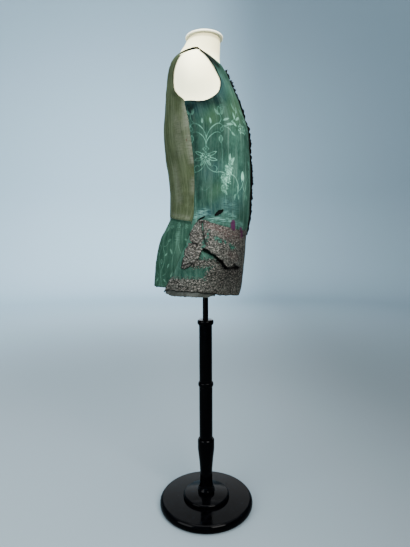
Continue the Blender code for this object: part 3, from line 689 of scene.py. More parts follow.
def select_only(obj: bpy.types.Object) -> None:
    """Make one object the only selected and active one."""
    bpy.ops.object.select_all(action="DESELECT")
    obj.select_set(True)
    bpy.context.view_layer.objects.active = obj


def apply_modifiers(obj: bpy.types.Object) -> None:
    """Apply an object's modifiers in order."""
    select_only(obj)
    for modifier in list(obj.modifiers):
        bpy.ops.object.modifier_apply(modifier=modifier.name)


def attach(piece: bpy.types.Object, body: str, nodes: Sequence[str]) -> None:
    """Fix a finished piece to its body and hide its CAD nodes.

    Args:
        piece: the finished object.
        body: the CAD body it moves with.
        nodes: the CAD nodes it stands for.
    """
    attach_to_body(piece, body)
    if nodes:
        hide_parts(*nodes)
    count = sum(len(face.vertices) - 2 for face in piece.data.polygons)
    LOG.info("%s: %d triangles on body %s", piece.name, count, body)


def laid_grid(name: str, points: np.ndarray) -> bpy.types.Object:
    """A flat grid primitive whose points are laid where they belong.

    Args:
        name: the piece's name.
        points: rows by columns by 3, in metres.

    Returns:
        The object, an open sheet facing out of the body.
    """
    rows, columns = points.shape[:2]
    bpy.ops.object.select_all(action="DESELECT")
    bpy.ops.mesh.primitive_grid_add(x_subdivisions=columns - 1, y_subdivisions=rows - 1, size=1.0)
    sheet = bpy.context.object
    sheet.name = name
    sheet.data.name = name
    sheet.data.vertices.foreach_set("co", points.reshape(-1).astype(np.float32))
    sheet.data.update()
    return sheet


def face_outwards(sheet: bpy.types.Object, outward: np.ndarray) -> None:
    """Turn an open sheet's faces to the side that outward points to.

    Args:
        sheet: the open sheet.
        outward: a direction out of the body at the sheet's middle face.
    """
    middle = sheet.data.polygons[len(sheet.data.polygons) // 2]
    if middle.normal.dot(Vector(outward)) < 0:
        select_only(sheet)
        bpy.ops.object.mode_set(mode="EDIT")
        bpy.ops.mesh.select_all(action="SELECT")
        bpy.ops.mesh.flip_normals()
        bpy.ops.object.mode_set(mode="OBJECT")


def store(sheet: bpy.types.Object, name: str, values: np.ndarray) -> None:
    """Keep a value at each point of a sheet for its material."""
    attribute = sheet.data.attributes.new(name, "FLOAT", "POINT")
    attribute.data.foreach_set("value", values.reshape(-1).astype(np.float32))


def map_cloth(sheet: bpy.types.Object, u: np.ndarray, v: np.ndarray) -> None:
    """Lay the cloth's own coordinates on a sheet as its UV map, in metres."""
    layer = sheet.data.uv_layers[0]
    layer.name = CLOTH_MAP
    corners = np.zeros(len(sheet.data.loops), np.int32)
    sheet.data.loops.foreach_get("vertex_index", corners)
    places = np.stack([u.reshape(-1)[corners], v.reshape(-1)[corners]], axis=1)
    layer.data.foreach_set("uv", places.reshape(-1).astype(np.float32))


def edge_distance(points: np.ndarray, edge: np.ndarray) -> np.ndarray:
    """Metres from each point of a grid to the nearest point of an edge."""
    flat = points.reshape(-1, 3)
    nearest = np.full(len(flat), 1.0)
    for start in range(0, len(edge), 24):
        part = edge[start:start + 24]
        gap = np.linalg.norm(flat[:, None, :] - part[None, :, :], axis=2).min(axis=1)
        nearest = np.minimum(nearest, gap)
    return nearest.reshape(points.shape[:2])


# ---------------------------------------------------------------- shader wiring


class Wiring:
    """Adds nodes to one shader tree and joins them."""

    def __init__(self, tree: bpy.types.NodeTree) -> None:
        """Work on a material's tree or a node group."""
        self.tree = tree

    def node(self, kind: str, inputs: dict | None = None, **settings) -> bpy.types.Node:
        """One node with its settings and inputs.

        Args:
            kind: the node's type name.
            inputs: values or sockets by input name or number.
            settings: properties of the node.

        Returns:
            The node.
        """
        made = self.tree.nodes.new(kind)
        for key, value in settings.items():
            setattr(made, key, value)
        for key, value in (inputs or {}).items():
            self.feed(made.inputs[key], value)
        return made

    def feed(self, socket: bpy.types.NodeSocket, value: object) -> None:
        """Link a socket, or set its plain value."""
        if isinstance(value, bpy.types.NodeSocket):
            self.tree.links.new(value, socket)
        elif socket.type == "RGBA" and len(value) == 3:
            socket.default_value = (*value, 1.0)
        else:
            socket.default_value = value

    def calc(self, operation: str, *values: object, clamp: bool = False) -> bpy.types.NodeSocket:
        """A Math node's result."""
        made = self.node("ShaderNodeMath", operation=operation, use_clamp=clamp)
        for socket, value in zip(made.inputs, values):
            self.feed(socket, value)
        return made.outputs[0]

    def vector(self, operation: str, *values: object) -> bpy.types.NodeSocket:
        """A Vector Math node's result, a number for LENGTH and DOT_PRODUCT."""
        made = self.node("ShaderNodeVectorMath", operation=operation)
        for socket, value in zip(made.inputs, values):
            self.feed(socket, value)
        number = operation in ("LENGTH", "DOT_PRODUCT", "DISTANCE")
        return made.outputs["Value" if number else "Vector"]

    def step(self, value: object, low: float, high: float, to_low: float = 0.0,
             to_high: float = 1.0) -> bpy.types.NodeSocket:
        """A soft step from to_low at low to to_high at high."""
        made = self.node("ShaderNodeMapRange", interpolation_type="SMOOTHSTEP")
        for socket, item in zip(made.inputs, (value, low, high, to_low, to_high)):
            self.feed(socket, item)
        return made.outputs[0]

    def blend(self, share: object, low: object, high: object) -> bpy.types.NodeSocket:
        """Two colours mixed by a share."""
        made = self.node("ShaderNodeMix", data_type="RGBA")
        for number, item in zip((0, 6, 7), (share, low, high)):
            self.feed(made.inputs[number], item)
        return made.outputs[2]

    def darken(self, colour: object, by: object) -> bpy.types.NodeSocket:
        """A colour times a grey value."""
        grey = self.node("ShaderNodeCombineColor", {0: by, 1: by, 2: by}).outputs[0]
        made = self.node("ShaderNodeMix", data_type="RGBA", blend_type="MULTIPLY")
        for number, item in zip((0, 6, 7), (1.0, colour, grey)):
            self.feed(made.inputs[number], item)
        return made.outputs[2]

    def noise(self, place: object, scale: float, detail: float = 2.0,
              roughness: float = 0.5) -> bpy.types.NodeSocket:
        """A noise value about 0.5."""
        made = self.node("ShaderNodeTexNoise", {"Vector": place, "Scale": scale, "Detail": detail,
                                                "Roughness": roughness})
        return made.outputs["Fac"]

    def stretched(self, place: object, by: Point) -> bpy.types.NodeSocket:
        """A place scaled along each axis."""
        return self.vector("MULTIPLY", place, by)

    def trait(self, name: str) -> bpy.types.NodeSocket:
        """A value that the piece's points keep."""
        return self.node("ShaderNodeAttribute", attribute_name=name).outputs["Fac"]

    def cloth_place(self) -> bpy.types.NodeSocket:
        """The place on the cloth, in metres."""
        return self.node("ShaderNodeUVMap", uv_map=CLOTH_MAP).outputs[0]

    def object_place(self) -> bpy.types.NodeSocket:
        """The place in the part's frame, in metres."""
        return self.node("ShaderNodeTexCoord").outputs["Object"]

    def use(self, group: bpy.types.NodeTree, **inputs: object) -> bpy.types.Node:
        """A shared effect placed in this tree; underscores in input names stand for spaces."""
        made = self.node("ShaderNodeGroup", node_tree=group)
        for name, value in inputs.items():
            self.feed(made.inputs[name.replace("_", " ")], value)
        return made


class EffectGroup:
    """A shader effect that several materials share, built once."""

    made: dict[str, bpy.types.NodeTree] = {}

    @classmethod
    def get(cls, name: str, inputs: dict[str, str], outputs: dict[str, str],
            wire: Callable[[Wiring, dict, dict], None]) -> bpy.types.NodeTree:
        """The named group, made at its first use.

        Args:
            name: the group's name.
            inputs: socket kinds by name, such as Float, Vector or Color.
            outputs: the same for what it puts out.
            wire: joins the group's inputs to its outputs.

        Returns:
            The node group.
        """
        if name not in cls.made:
            tree = bpy.data.node_groups.new(name, "ShaderNodeTree")
            for direction, sockets in (("INPUT", inputs), ("OUTPUT", outputs)):
                for label, kind in sockets.items():
                    tree.interface.new_socket(name=label, in_out=direction,
                                              socket_type=f"NodeSocket{kind}")
            start = tree.nodes.new("NodeGroupInput")
            end = tree.nodes.new("NodeGroupOutput")
            wire(Wiring(tree), {s.name: s for s in start.outputs if s.name},
                 {s.name: s for s in end.inputs if s.name})
            cls.made[name] = tree
        return cls.made[name]


def stem_group() -> bpy.types.NodeTree:
    """A curved stroke: an arc of a circle with a width."""

    def wire(w: Wiring, given: dict, out: dict) -> None:
        away = w.vector("SUBTRACT", given["Place"], given["Centre"])
        length = w.vector("LENGTH", away)
        off = w.calc("ABSOLUTE", w.calc("SUBTRACT", length, given["Radius"]))
        body = w.calc("SUBTRACT", 1.0, w.step(w.calc("DIVIDE", off, given["Width"]), 0.6, 1.3))
        along = w.calc("DIVIDE", w.vector("DOT_PRODUCT", away, given["Toward"]), length)
        ends = w.step(w.calc("SUBTRACT", along, given["Gate"]), -0.01, 0.01)
        w.feed(out["Mask"], w.calc("MULTIPLY", body, ends))

    return EffectGroup.get("stem_stroke", {"Place": "Vector", "Centre": "Vector",
                                           "Toward": "Vector", "Radius": "Float",
                                           "Gate": "Float", "Width": "Float"},
                           {"Mask": "Float"}, wire)


def leaf_group() -> bpy.types.NodeTree:
    """A pointed leaf, filled or as an outline."""

    def wire(w: Wiring, given: dict, out: dict) -> None:
        away = w.vector("SUBTRACT", given["Place"], given["Centre"])
        along = w.vector("DOT_PRODUCT", away, given["Along"])
        whole = w.vector("DOT_PRODUCT", away, away)
        across = w.calc("SQRT", w.calc("MAXIMUM", w.calc(
            "SUBTRACT", whole, w.calc("MULTIPLY", along, along)), 0.0))
        a = w.calc("POWER", w.calc("ABSOLUTE", w.calc("DIVIDE", along, given["Length"])), 2.0)
        b = w.calc("DIVIDE", across, given["Breadth"])
        inside = w.calc("SUBTRACT", w.calc("SUBTRACT", 1.0, a), b)
        hole = w.calc("MULTIPLY", w.step(inside, 0.38, 0.5), given["Hollow"])
        w.feed(out["Mask"], w.calc("SUBTRACT", w.step(inside, 0.0, 0.1), hole, clamp=True))

    return EffectGroup.get("leaf_shape", {"Place": "Vector", "Centre": "Vector",
                                          "Along": "Vector", "Length": "Float",
                                          "Breadth": "Float", "Hollow": "Float"},
                           {"Mask": "Float"}, wire)


def bloom_group() -> bpy.types.NodeTree:
    """A round flower head with outlined petals and a heart."""

    def wire(w: Wiring, given: dict, out: dict) -> None:
        away = w.vector("SUBTRACT", given["Place"], given["Centre"])
        radius = w.calc("DIVIDE", w.vector("LENGTH", away), given["Radius"])
        parts = w.node("ShaderNodeSeparateXYZ", {0: away})
        turn = w.calc("ARCTAN2", parts.outputs[1], parts.outputs[0])
        half = w.calc("MULTIPLY", given["Petals"], 0.5)
        lobes = w.calc("ABSOLUTE", w.calc("COSINE", w.calc("MULTIPLY", turn, half)))
        reach = w.calc("MULTIPLY_ADD", lobes, 0.5, 0.5)
        inside = w.calc("SUBTRACT", reach, radius)
        petals = w.calc("SUBTRACT", w.step(inside, 0.0, 0.06), w.step(inside, 0.2, 0.3),
                        clamp=True)
        heart = w.step(radius, 0.16, 0.24, 1.0, 0.0)
        w.feed(out["Mask"], w.calc("MAXIMUM", petals, heart))

    return EffectGroup.get("bloom_shape", {"Place": "Vector", "Centre": "Vector",
                                           "Radius": "Float", "Petals": "Float"},
                           {"Mask": "Float"}, wire)


def spray_group() -> bpy.types.NodeTree:
    """An upright oval with a ragged outline, for a dense spray of small blossoms."""

    def wire(w: Wiring, given: dict, out: dict) -> None:
        away = w.vector("DIVIDE", w.vector("SUBTRACT", given["Place"], given["Centre"]),
                        given["Reach"])
        radius = w.calc("ADD", w.vector("LENGTH", away), given["Ragged"])
        w.feed(out["Mask"], w.step(radius, 0.8, 0.98, 1.0, 0.0))

    return EffectGroup.get("blossom_spray", {"Place": "Vector", "Centre": "Vector",
                                             "Reach": "Vector", "Ragged": "Float"},
                           {"Mask": "Float"}, wire)


class Stem(NamedTuple):
    """A curved stroke of the woven vine, bent to the left of its run by a share of its length."""

    u0: float
    v0: float
    u1: float
    v1: float
    bend: float
    width: float = 0.0013


class Leaf(NamedTuple):
    """A leaf or bud of the woven vine."""

    u: float
    v: float
    turn: float
    length: float
    breadth: float
    hollow: float = 0.0


class Bloom(NamedTuple):
    """A flower head of the woven vine."""

    u: float
    v: float
    radius: float
    petals: float


class Spray(NamedTuple):
    """An oval of small blossoms of the woven vine."""

    u: float
    v: float
    half_width: float
    half_height: float


@dataclass(frozen=True)
class VineMotif:
    """A common woven vine that mirrors from side to side and repeats up the cloth."""

    name: str
    half_width: float
    height: float
    stems: tuple[Stem, ...]
    leaves: tuple[Leaf, ...]
    blooms: tuple[Bloom, ...]
    sprays: tuple[Spray, ...]

    def group(self) -> bpy.types.NodeTree:
        """The motif as a shared effect that puts out its mask."""
        return EffectGroup.get(self.name, {"Place": "Vector", "Axis": "Float", "Base": "Float"},
                               {"Mask": "Float"}, self.wire)

    def wire(self, w: Wiring, given: dict, out: dict) -> None:
        """Fold the cloth into one repeat and draw each element there.

        Args:
            w: the group's wiring.
            given: the group's inputs by name.
            out: the group's outputs by name.
        """
        parts = w.node("ShaderNodeSeparateXYZ", {0: given["Place"]})
        u = w.calc("PINGPONG", w.calc("SUBTRACT", parts.outputs[0], given["Axis"]),
                   self.half_width)
        v = w.calc("FLOORED_MODULO", w.calc("SUBTRACT", parts.outputs[1], given["Base"]),
                   self.height)
        place = w.node("ShaderNodeCombineXYZ", {0: u, 1: v}).outputs[0]
        mask: object = 0.0
        for stem in self.stems:
            mask = w.calc("MAXIMUM", mask, self.stroke(w, place, stem))
        for leaf in self.leaves:
            turn = math.radians(leaf.turn)
            drawn = w.use(leaf_group(), Place=place, Centre=(leaf.u, leaf.v, 0.0),
                          Along=(math.cos(turn), math.sin(turn), 0.0), Length=leaf.length,
                          Breadth=leaf.breadth, Hollow=leaf.hollow)
            mask = w.calc("MAXIMUM", mask, drawn.outputs[0])
        for bloom in self.blooms:
            drawn = w.use(bloom_group(), Place=place, Centre=(bloom.u, bloom.v, 0.0),
                          Radius=bloom.radius, Petals=bloom.petals)
            mask = w.calc("MAXIMUM", mask, drawn.outputs[0])
        if self.sprays:
            mask = w.calc("MAXIMUM", mask, self.blossoms(w, place))
        w.feed(out["Mask"], mask)

    def blossoms(self, w: Wiring, place: object) -> bpy.types.NodeSocket:
        """The sprays' ovals filled with small round blossoms, as a mask."""
        ragged = w.calc("MULTIPLY_ADD", w.noise(place, 170.0, 1.0), 1.5, -0.75)
        cells = w.node("ShaderNodeTexVoronoi", {"Vector": place, "Scale": 210.0})
        dots = w.step(cells.outputs["Distance"], 0.32, 0.58, 1.3, 0.40)
        ovals: object = 0.0
        for spray in self.sprays:
            drawn = w.use(spray_group(), Place=place, Centre=(spray.u, spray.v, 0.0),
                          Reach=(spray.half_width, spray.half_height, 1.0), Ragged=ragged)
            ovals = w.calc("MAXIMUM", ovals, drawn.outputs[0])
        return w.calc("MULTIPLY", ovals, dots)

    @staticmethod
    def stroke(w: Wiring, place: object, stem: Stem) -> bpy.types.NodeSocket:
        """The arc through a stem's ends, as a mask."""
        run = Vector((stem.u1 - stem.u0, stem.v1 - stem.v0))
        left = Vector((-run.y, run.x)).normalized() * math.copysign(1.0, stem.bend)
        rise = max(abs(stem.bend), 0.01) * run.length
        radius = (run.length ** 2 / 4 + rise ** 2) / (2 * rise)
        middle = Vector((stem.u0 + stem.u1, stem.v0 + stem.v1)) / 2
        centre = middle - left * (radius - rise)
        gate = math.sqrt(max(0.0, 1.0 - (run.length / 2 / radius) ** 2))
        drawn = w.use(stem_group(), Place=place, Centre=(centre.x, centre.y, 0.0),
                      Toward=(left.x, left.y, 0.0), Radius=radius,
                      Gate=gate, Width=stem.width * 0.86)
        return w.calc("MULTIPLY", drawn.outputs[0], 0.8)


BODICE_VINE = VineMotif(
    name="bodice_vine", half_width=0.128, height=0.36,
    stems=(
        Stem(0.000, 0.190, 0.030, 0.250, 0.17, 0.0015),
        Stem(0.030, 0.250, 0.050, 0.240, 0.22, 0.0013),
        Stem(0.000, 0.186, 0.018, 0.221, 0.14, 0.0014),
        Stem(0.018, 0.221, 0.041, 0.225, 0.16, 0.0012),
        Stem(0.041, 0.225, 0.049, 0.140, 0.03, 0.0008),
        Stem(0.036, 0.252, 0.043, 0.275, -0.20, 0.0010),
        Stem(0.050, 0.246, 0.080, 0.262, -0.15, 0.0012),
        Stem(0.080, 0.262, 0.104, 0.290, -0.10, 0.0010),
        Stem(0.052, 0.243, 0.078, 0.230, 0.14, 0.0010),
        Stem(0.000, 0.150, 0.000, 0.186, 0.02, 0.0013),
        Stem(0.001, 0.140, 0.034, 0.113, -0.16, 0.0015),
        Stem(0.034, 0.113, 0.060, 0.110, 0.10, 0.0012),
        Stem(0.030, 0.115, 0.026, 0.132, -0.35, 0.0010),
        Stem(0.026, 0.132, 0.020, 0.128, -0.45, 0.0008),
        Stem(0.076, 0.108, 0.099, 0.095, 0.15, 0.0012),
        Stem(0.099, 0.095, 0.108, 0.052, 0.12, 0.0012),
        Stem(0.108, 0.060, 0.127, 0.088, -0.18, 0.0010),
        Stem(0.104, 0.075, 0.100, 0.045, 0.15, 0.0009),
        Stem(0.000, 0.004, 0.000, 0.085, 0.02, 0.0008),
        Stem(0.000, 0.060, 0.012, 0.072, -0.15, 0.0007),
        Stem(0.016, 0.010, 0.014, 0.070, 0.03, 0.0007),
        Stem(0.062, 0.050, 0.064, 0.004, 0.05, 0.0008),
        Stem(0.088, 0.330, 0.100, 0.295, 0.15, 0.0009),
    ),
    leaves=(
        Leaf(0.043, 0.287, 80.0, 0.013, 0.0070, 1.0),
        Leaf(0.034, 0.283, 115.0, 0.010, 0.0035, 0.0),
        Leaf(0.052, 0.283, 55.0, 0.010, 0.0035, 0.0),
        Leaf(0.060, 0.264, 20.0, 0.012, 0.0032, 0.0),
        Leaf(0.072, 0.252, 5.0, 0.013, 0.0035, 0.0),
        Leaf(0.088, 0.256, -40.0, 0.012, 0.0035, 0.0),
        Leaf(0.092, 0.278, 95.0, 0.012, 0.0035, 0.0),
        Leaf(0.106, 0.272, 30.0, 0.012, 0.0038, 0.0),
        Leaf(0.112, 0.298, 60.0, 0.013, 0.0040, 0.0),
        Leaf(0.098, 0.305, 110.0, 0.013, 0.0040, 0.0),
        Leaf(0.084, 0.226, -35.0, 0.010, 0.0032, 0.0),
        Leaf(0.046, 0.236, 78.0, 0.0085, 0.0060, 1.0),
        Leaf(0.043, 0.208, 92.0, 0.0120, 0.0068, 0.75),
        Leaf(0.012, 0.258, 95.0, 0.009, 0.0030, 0.0),
        Leaf(0.019, 0.166, 25.0, 0.016, 0.0050, 1.0),
        Leaf(0.021, 0.150, -10.0, 0.015, 0.0048, 1.0),
        Leaf(0.010, 0.139, -50.0, 0.010, 0.0040, 0.5),
        Leaf(0.111, 0.044, -80.0, 0.010, 0.0035, 0.0),
        Leaf(0.097, 0.043, -100.0, 0.010, 0.0035, 0.0),
        Leaf(0.125, 0.105, 85.0, 0.018, 0.0050, 0.0),
        Leaf(0.074, 0.158, 88.0, 0.012, 0.0042, 0.0),
        Leaf(0.086, 0.150, 65.0, 0.011, 0.0040, 0.0),
        Leaf(0.064, 0.055, -60.0, 0.010, 0.0036, 0.0),
        Leaf(0.060, 0.320, 80.0, 0.010, 0.0050, 1.0),
    ),
    blooms=(
        Bloom(0.000, 0.179, 0.0100, 4.0),
        Bloom(0.000, 0.156, 0.0170, 8.0),
        Bloom(0.056, 0.298, 0.0080, 5.0),
        Bloom(0.117, 0.245, 0.0150, 7.0),
        Bloom(0.070, 0.345, 0.0090, 6.0),
    ),
    sprays=(
        Spray(0.078, 0.146, 0.0090, 0.0130),
        Spray(0.072, 0.122, 0.0150, 0.0180),
        Spray(0.062, 0.094, 0.0165, 0.0190),
        Spray(0.060, 0.068, 0.0125, 0.0150),
    ),
)

SKIRT_VINE = VineMotif(
    name="skirt_vine", half_width=0.075, height=0.21,
    stems=(
        Stem(0.010, 0.000, 0.004, 0.055, 0.10, 0.0011),
        Stem(0.004, 0.055, 0.012, 0.110, -0.12, 0.0011),
        Stem(0.012, 0.110, 0.006, 0.160, 0.12, 0.0011),
        Stem(0.006, 0.160, 0.010, 0.210, -0.08, 0.0011),
        Stem(0.008, 0.035, 0.030, 0.060, -0.18, 0.0009),
        Stem(0.010, 0.125, 0.034, 0.140, -0.18, 0.0009),
        Stem(0.066, 0.010, 0.058, 0.095, 0.08, 0.0009),
        Stem(0.058, 0.095, 0.070, 0.170, -0.10, 0.0009),
    ),
    leaves=(
        Leaf(0.036, 0.066, 45.0, 0.010, 0.0038, 0.5),
        Leaf(0.040, 0.144, 20.0, 0.010, 0.0038, 0.5),
        Leaf(0.000, 0.078, 95.0, 0.008, 0.0052, 1.0),
        Leaf(0.020, 0.020, -30.0, 0.009, 0.0032, 0.0),
        Leaf(0.022, 0.100, 35.0, 0.009, 0.0032, 0.0),
        Leaf(0.050, 0.110, 120.0, 0.010, 0.0036, 0.0),
        Leaf(0.052, 0.040, 60.0, 0.009, 0.0032, 0.0),
        Leaf(0.018, 0.178, 50.0, 0.010, 0.0036, 0.0),
    ),
    blooms=(
        Bloom(0.044, 0.185, 0.0070, 5.0),
        Bloom(0.030, 0.012, 0.0060, 5.0),
        Bloom(0.075, 0.190, 0.0090, 6.0),
    ),
    sprays=(),
)


def streak_group() -> bpy.types.NodeTree:
    """The upright threads of worn silk: broad and fine streaks, and a weave."""

    def wire(w: Wiring, given: dict, out: dict) -> None:
        place = given["Place"]
        broad = w.noise(w.stretched(place, (95.0, 5.0, 1.0)), 1.0, 3.0, 0.6)
        fine = w.noise(w.stretched(place, (480.0, 14.0, 1.0)), 1.0, 3.0, 0.65)
        short = w.noise(w.stretched(place, (700.0, 90.0, 1.0)), 1.0, 2.0, 0.6)
        w.feed(out["Broad"], broad)
        w.feed(out["Fine"], w.calc("MULTIPLY_ADD", short, 0.4, w.calc("MULTIPLY", fine, 0.6)))
        parts = w.node("ShaderNodeSeparateXYZ", {0: place})
        warp = w.calc("SINE", w.calc("MULTIPLY", parts.outputs[0], 2 * math.pi / 0.0011))
        weft = w.calc("SINE", w.calc("MULTIPLY", parts.outputs[1], 2 * math.pi / 0.0015))
        weave = w.calc("MULTIPLY_ADD", w.calc("MULTIPLY", warp, weft), 0.5, 0.5)
        w.feed(out["Weave"], weave)

    return EffectGroup.get("silk_streaks", {"Place": "Vector"},
                           {"Broad": "Float", "Fine": "Float", "Weave": "Float"}, wire)


def brocade_group() -> bpy.types.NodeTree:
    """Tarnished metal thread: pebbled, speckled, brown to grey with bright and pink specks, the
    bright ones partly painted glints.
    """

    def wire(w: Wiring, given: dict, out: dict) -> None:
        place = given["Place"]
        drift = w.noise(place, 90.0, 2.0)
        moved = w.vector("ADD", place, w.node(
            "ShaderNodeCombineXYZ", {0: w.calc("MULTIPLY", drift, 0.004)}).outputs[0])
        cells = w.node("ShaderNodeTexVoronoi", {"Vector": moved, "Scale": 380.0})
        pebble = w.step(cells.outputs["Distance"], 0.1, 0.7, 1.0, 0.0)
        coarse = w.noise(place, 175.0, 4.0, 0.85)
        broad = w.noise(place, 45.0, 3.0, 0.6)
        thread = w.noise(w.stretched(place, (160.0, 900.0, 1.0)), 1.0, 2.0, 0.6)
        body = w.blend(w.step(broad, 0.30, 0.60, 0.35, 1.0), given["Dark"], given["Body"])
        # Bright specks on the pebbles' tops: the metal's paler tone and painted glints.
        lit = w.calc("MULTIPLY", w.step(coarse, 0.50, 0.64), w.step(pebble, 0.0, 0.7, 0.35, 1.0))
        body = w.blend(lit, body, given["Light"])
        pits = w.calc("MULTIPLY", w.step(coarse, 0.38, 0.50, 1.0, 0.0), 0.93)
        body = w.blend(pits, body, given["Dark"])
        w.feed(out["Colour"], w.darken(body, w.step(thread, 0.2, 0.8, 0.8, 1.15)))
        height = w.calc("MULTIPLY_ADD", pebble, 0.5, w.calc("MULTIPLY", coarse, 0.8))
        w.feed(out["Height"], height)
        w.feed(out["Glint"], lit)

    return EffectGroup.get("gilt_brocade", {"Place": "Vector", "Dark": "Color", "Body": "Color",
                                            "Light": "Color"},
                           {"Colour": "Color", "Height": "Float", "Glint": "Float"}, wire)


# ---------------------------------------------------------------- finishes


class Finish:
    """A material made once from a finish's values."""

    name: str
    roughness: float

    def material(self) -> bpy.types.Material:
        """The finish's material, made at its first use."""
        known = bpy.data.materials.get(f"{self.name}_finish")
        if known:
            return known
        made = bpy.data.materials.new(f"{self.name}_finish")
        made.use_nodes = True
        shader = made.node_tree.nodes["Principled BSDF"]
        self.wire(Wiring(made.node_tree), shader)
        return made

    def wire(self, w: Wiring, shader: bpy.types.Node) -> None:
        """Join the finish's nodes to the shader."""
        raise NotImplementedError


@dataclass(frozen=True)
class BrocadeColours:
    """The three tones of tarnished metal thread, the light one partly a painted glint."""

    dark: Colour = (0.0011, 0.0011, 0.0010)
    body: Colour = (0.0236, 0.0250, 0.0212)
    light: Colour = (0.1560, 0.1420, 0.1260)


BROCADE = BrocadeColours()


@dataclass(frozen=True)
class FiguredSilk(Finish):
    """Worn silk with a woven vine, and metal brocade where the piece says so."""

    name: str
    deep: Colour
    mid: Colour
    pale: Colour
    cool: Colour
    leafy: Colour
    worn: Colour
    vine_colour: Colour
    motif: VineMotif
    axis: float
    base: float
    vine_share: float
    roughness: float = 0.66
    # The neck band's colour, also used for the painted shade along the edges and beside the closing.
    trim: Colour = (0.0022, 0.0030, 0.0026)
    piping: Colour = (0.024, 0.021, 0.012)
    band_line: Colour = (0.030, 0.034, 0.032)
    stain: Colour = (0.030, 0.0035, 0.022)
    gloss: float = 0.002

    def ground(self, w: Wiring, place: object, streaks: bpy.types.Node) -> object:
        """The cloth's own colour, streaked and cloudy."""
        cloud = w.noise(place, 14.0, 4.0, 0.6)
        colour = w.blend(w.step(cloud, 0.3, 0.7), self.deep, self.mid)
        cool = w.trait("cool")
        ragged = w.calc("MULTIPLY_ADD", w.noise(place, 60.0, 3.0, 0.6), 0.9, 0.55)
        colour = w.blend(w.calc("MULTIPLY", cool, ragged, clamp=True), colour, self.cool)
        leafy = w.calc("MULTIPLY", w.calc("MULTIPLY", cool, -1.0), ragged, clamp=True)
        colour = w.blend(leafy, colour, self.leafy)
        broad = w.step(streaks.outputs["Broad"], 0.45, 0.75, 0.0, 0.45)
        colour = w.blend(broad, colour, self.pale)
        fine = w.step(streaks.outputs["Fine"], 0.48, 0.68, 0.0, 0.42)
        colour = w.blend(fine, colour, self.pale)
        return w.darken(colour, w.step(streaks.outputs["Fine"], 0.32, 0.5, 0.68, 1.0))

    def edges(self, w: Wiring, place: object, colour: object) -> object:
        """The dark neck band with its fine lines, painted shade along the armhole and hem edges, and
        the piped closing with painted shade beside it.
        """
        neck = w.trait("neck_edge")
        frayed = w.calc("MULTIPLY_ADD", w.noise(place, 90.0, 3.0, 0.6), 0.006, -0.003)
        band = w.step(w.calc("ADD", neck, frayed), 0.0235, 0.0255, 0.93, 0.0)
        colour = w.blend(band, colour, self.trim)
        height = w.node("ShaderNodeSeparateXYZ", {0: place}).outputs[1]
        strap = w.step(height, 1.440, 1.460)
        for edge, place_in_band in ((neck, 0.0115), (w.trait("arm_edge"), 0.0075),
                                    (w.trait("arm_edge"), 0.0150)):
            line = w.step(w.calc("ABSOLUTE", w.calc("SUBTRACT", edge, place_in_band)),
                          0.0005, 0.0015, 0.55, 0.0)
            colour = w.blend(w.calc("MULTIPLY", line, strap), colour, self.band_line)
        # Painted shade: a dark band along the armhole and hem edges.
        colour = w.blend(w.step(w.trait("bound_edge"), 0.0018, 0.0030, 0.85, 0.0), colour,
                         self.trim)
        # Painted shade beside the closing, above the chest and below the pocket; between them a pale
        # piping line.
        closing = w.trait("closing_edge")
        plain = w.calc("MAXIMUM", w.step(height, 1.20, 1.26), w.step(height, 0.84, 0.87, 1.0,
                                                                      0.0))
        dark = w.calc("MULTIPLY", w.step(closing, 0.0038, 0.0056, 0.88, 0.0), plain)
        colour = w.blend(dark, colour, self.trim)
        line = w.step(w.calc("ABSOLUTE", w.calc("SUBTRACT", closing, 0.0020)), 0.0008, 0.0016,
                      0.7, 0.0)
        return w.blend(w.calc("MULTIPLY", line, w.calc("SUBTRACT", 1.0, plain)), colour,
                       self.piping)

    def wire(self, w: Wiring, shader: bpy.types.Node) -> None:
        """Ground, vine, wear, brocade, painted shading, trims with painted edge shade, and relief.

        Args:
            w: the material's wiring.
            shader: the Principled shader to feed.
        """
        place = w.cloth_place()
        streaks = w.use(streak_group(), Place=place)
        colour = self.ground(w, place, streaks)
        vine = w.use(self.motif.group(), Place=place, Axis=self.axis, Base=self.base).outputs[0]
        patchy = w.step(w.noise(place, 38.0, 3.0, 0.65), 0.36, 0.6, 0.35, 1.0)
        threads = w.step(streaks.outputs["Fine"], 0.35, 0.6, 0.65, 1.0)
        share = w.calc("MULTIPLY", w.calc("MULTIPLY", vine, patchy), threads)
        share = w.calc("MULTIPLY", share, w.calc("MULTIPLY", w.trait("vine"), self.vine_share),
                       clamp=True)
        colour = w.blend(share, colour, self.vine_colour)
        frets = w.noise(w.stretched(place, (42.0, 400.0, 1.0)), 1.0, 4.0, 0.7)
        worn = w.trait("worn")
        thin = w.calc("MULTIPLY", worn, w.step(frets, 0.44, 0.62), clamp=True)
        colour = w.blend(thin, colour, self.worn)
        gapped = w.calc("MULTIPLY", worn, w.step(frets, 0.30, 0.44, 1.0, 0.0), clamp=True)
        colour = w.darken(colour, w.step(gapped, 0.0, 1.0, 1.0, 0.45))
        stain = w.step(w.calc("MULTIPLY", w.trait("stain"), w.noise(
            w.stretched(place, (300.0, 150.0, 1.0)), 1.0, 3.0, 0.7)), 0.17, 0.32)
        colour = w.blend(w.calc("MULTIPLY", stain, 0.85), colour, self.stain)
        brocade = w.use(brocade_group(), Place=place, Dark=BROCADE.dark, Body=BROCADE.body,
                        Light=BROCADE.light)
        rough_edge = w.calc("MULTIPLY_ADD", w.noise(place, 165.0, 5.0, 0.9), 0.085, -0.0425)
        metal = w.step(w.calc("ADD", w.trait("brocade"), rough_edge), -0.0012, 0.0012)
        colour = w.blend(metal, colour, brocade.outputs["Colour"])
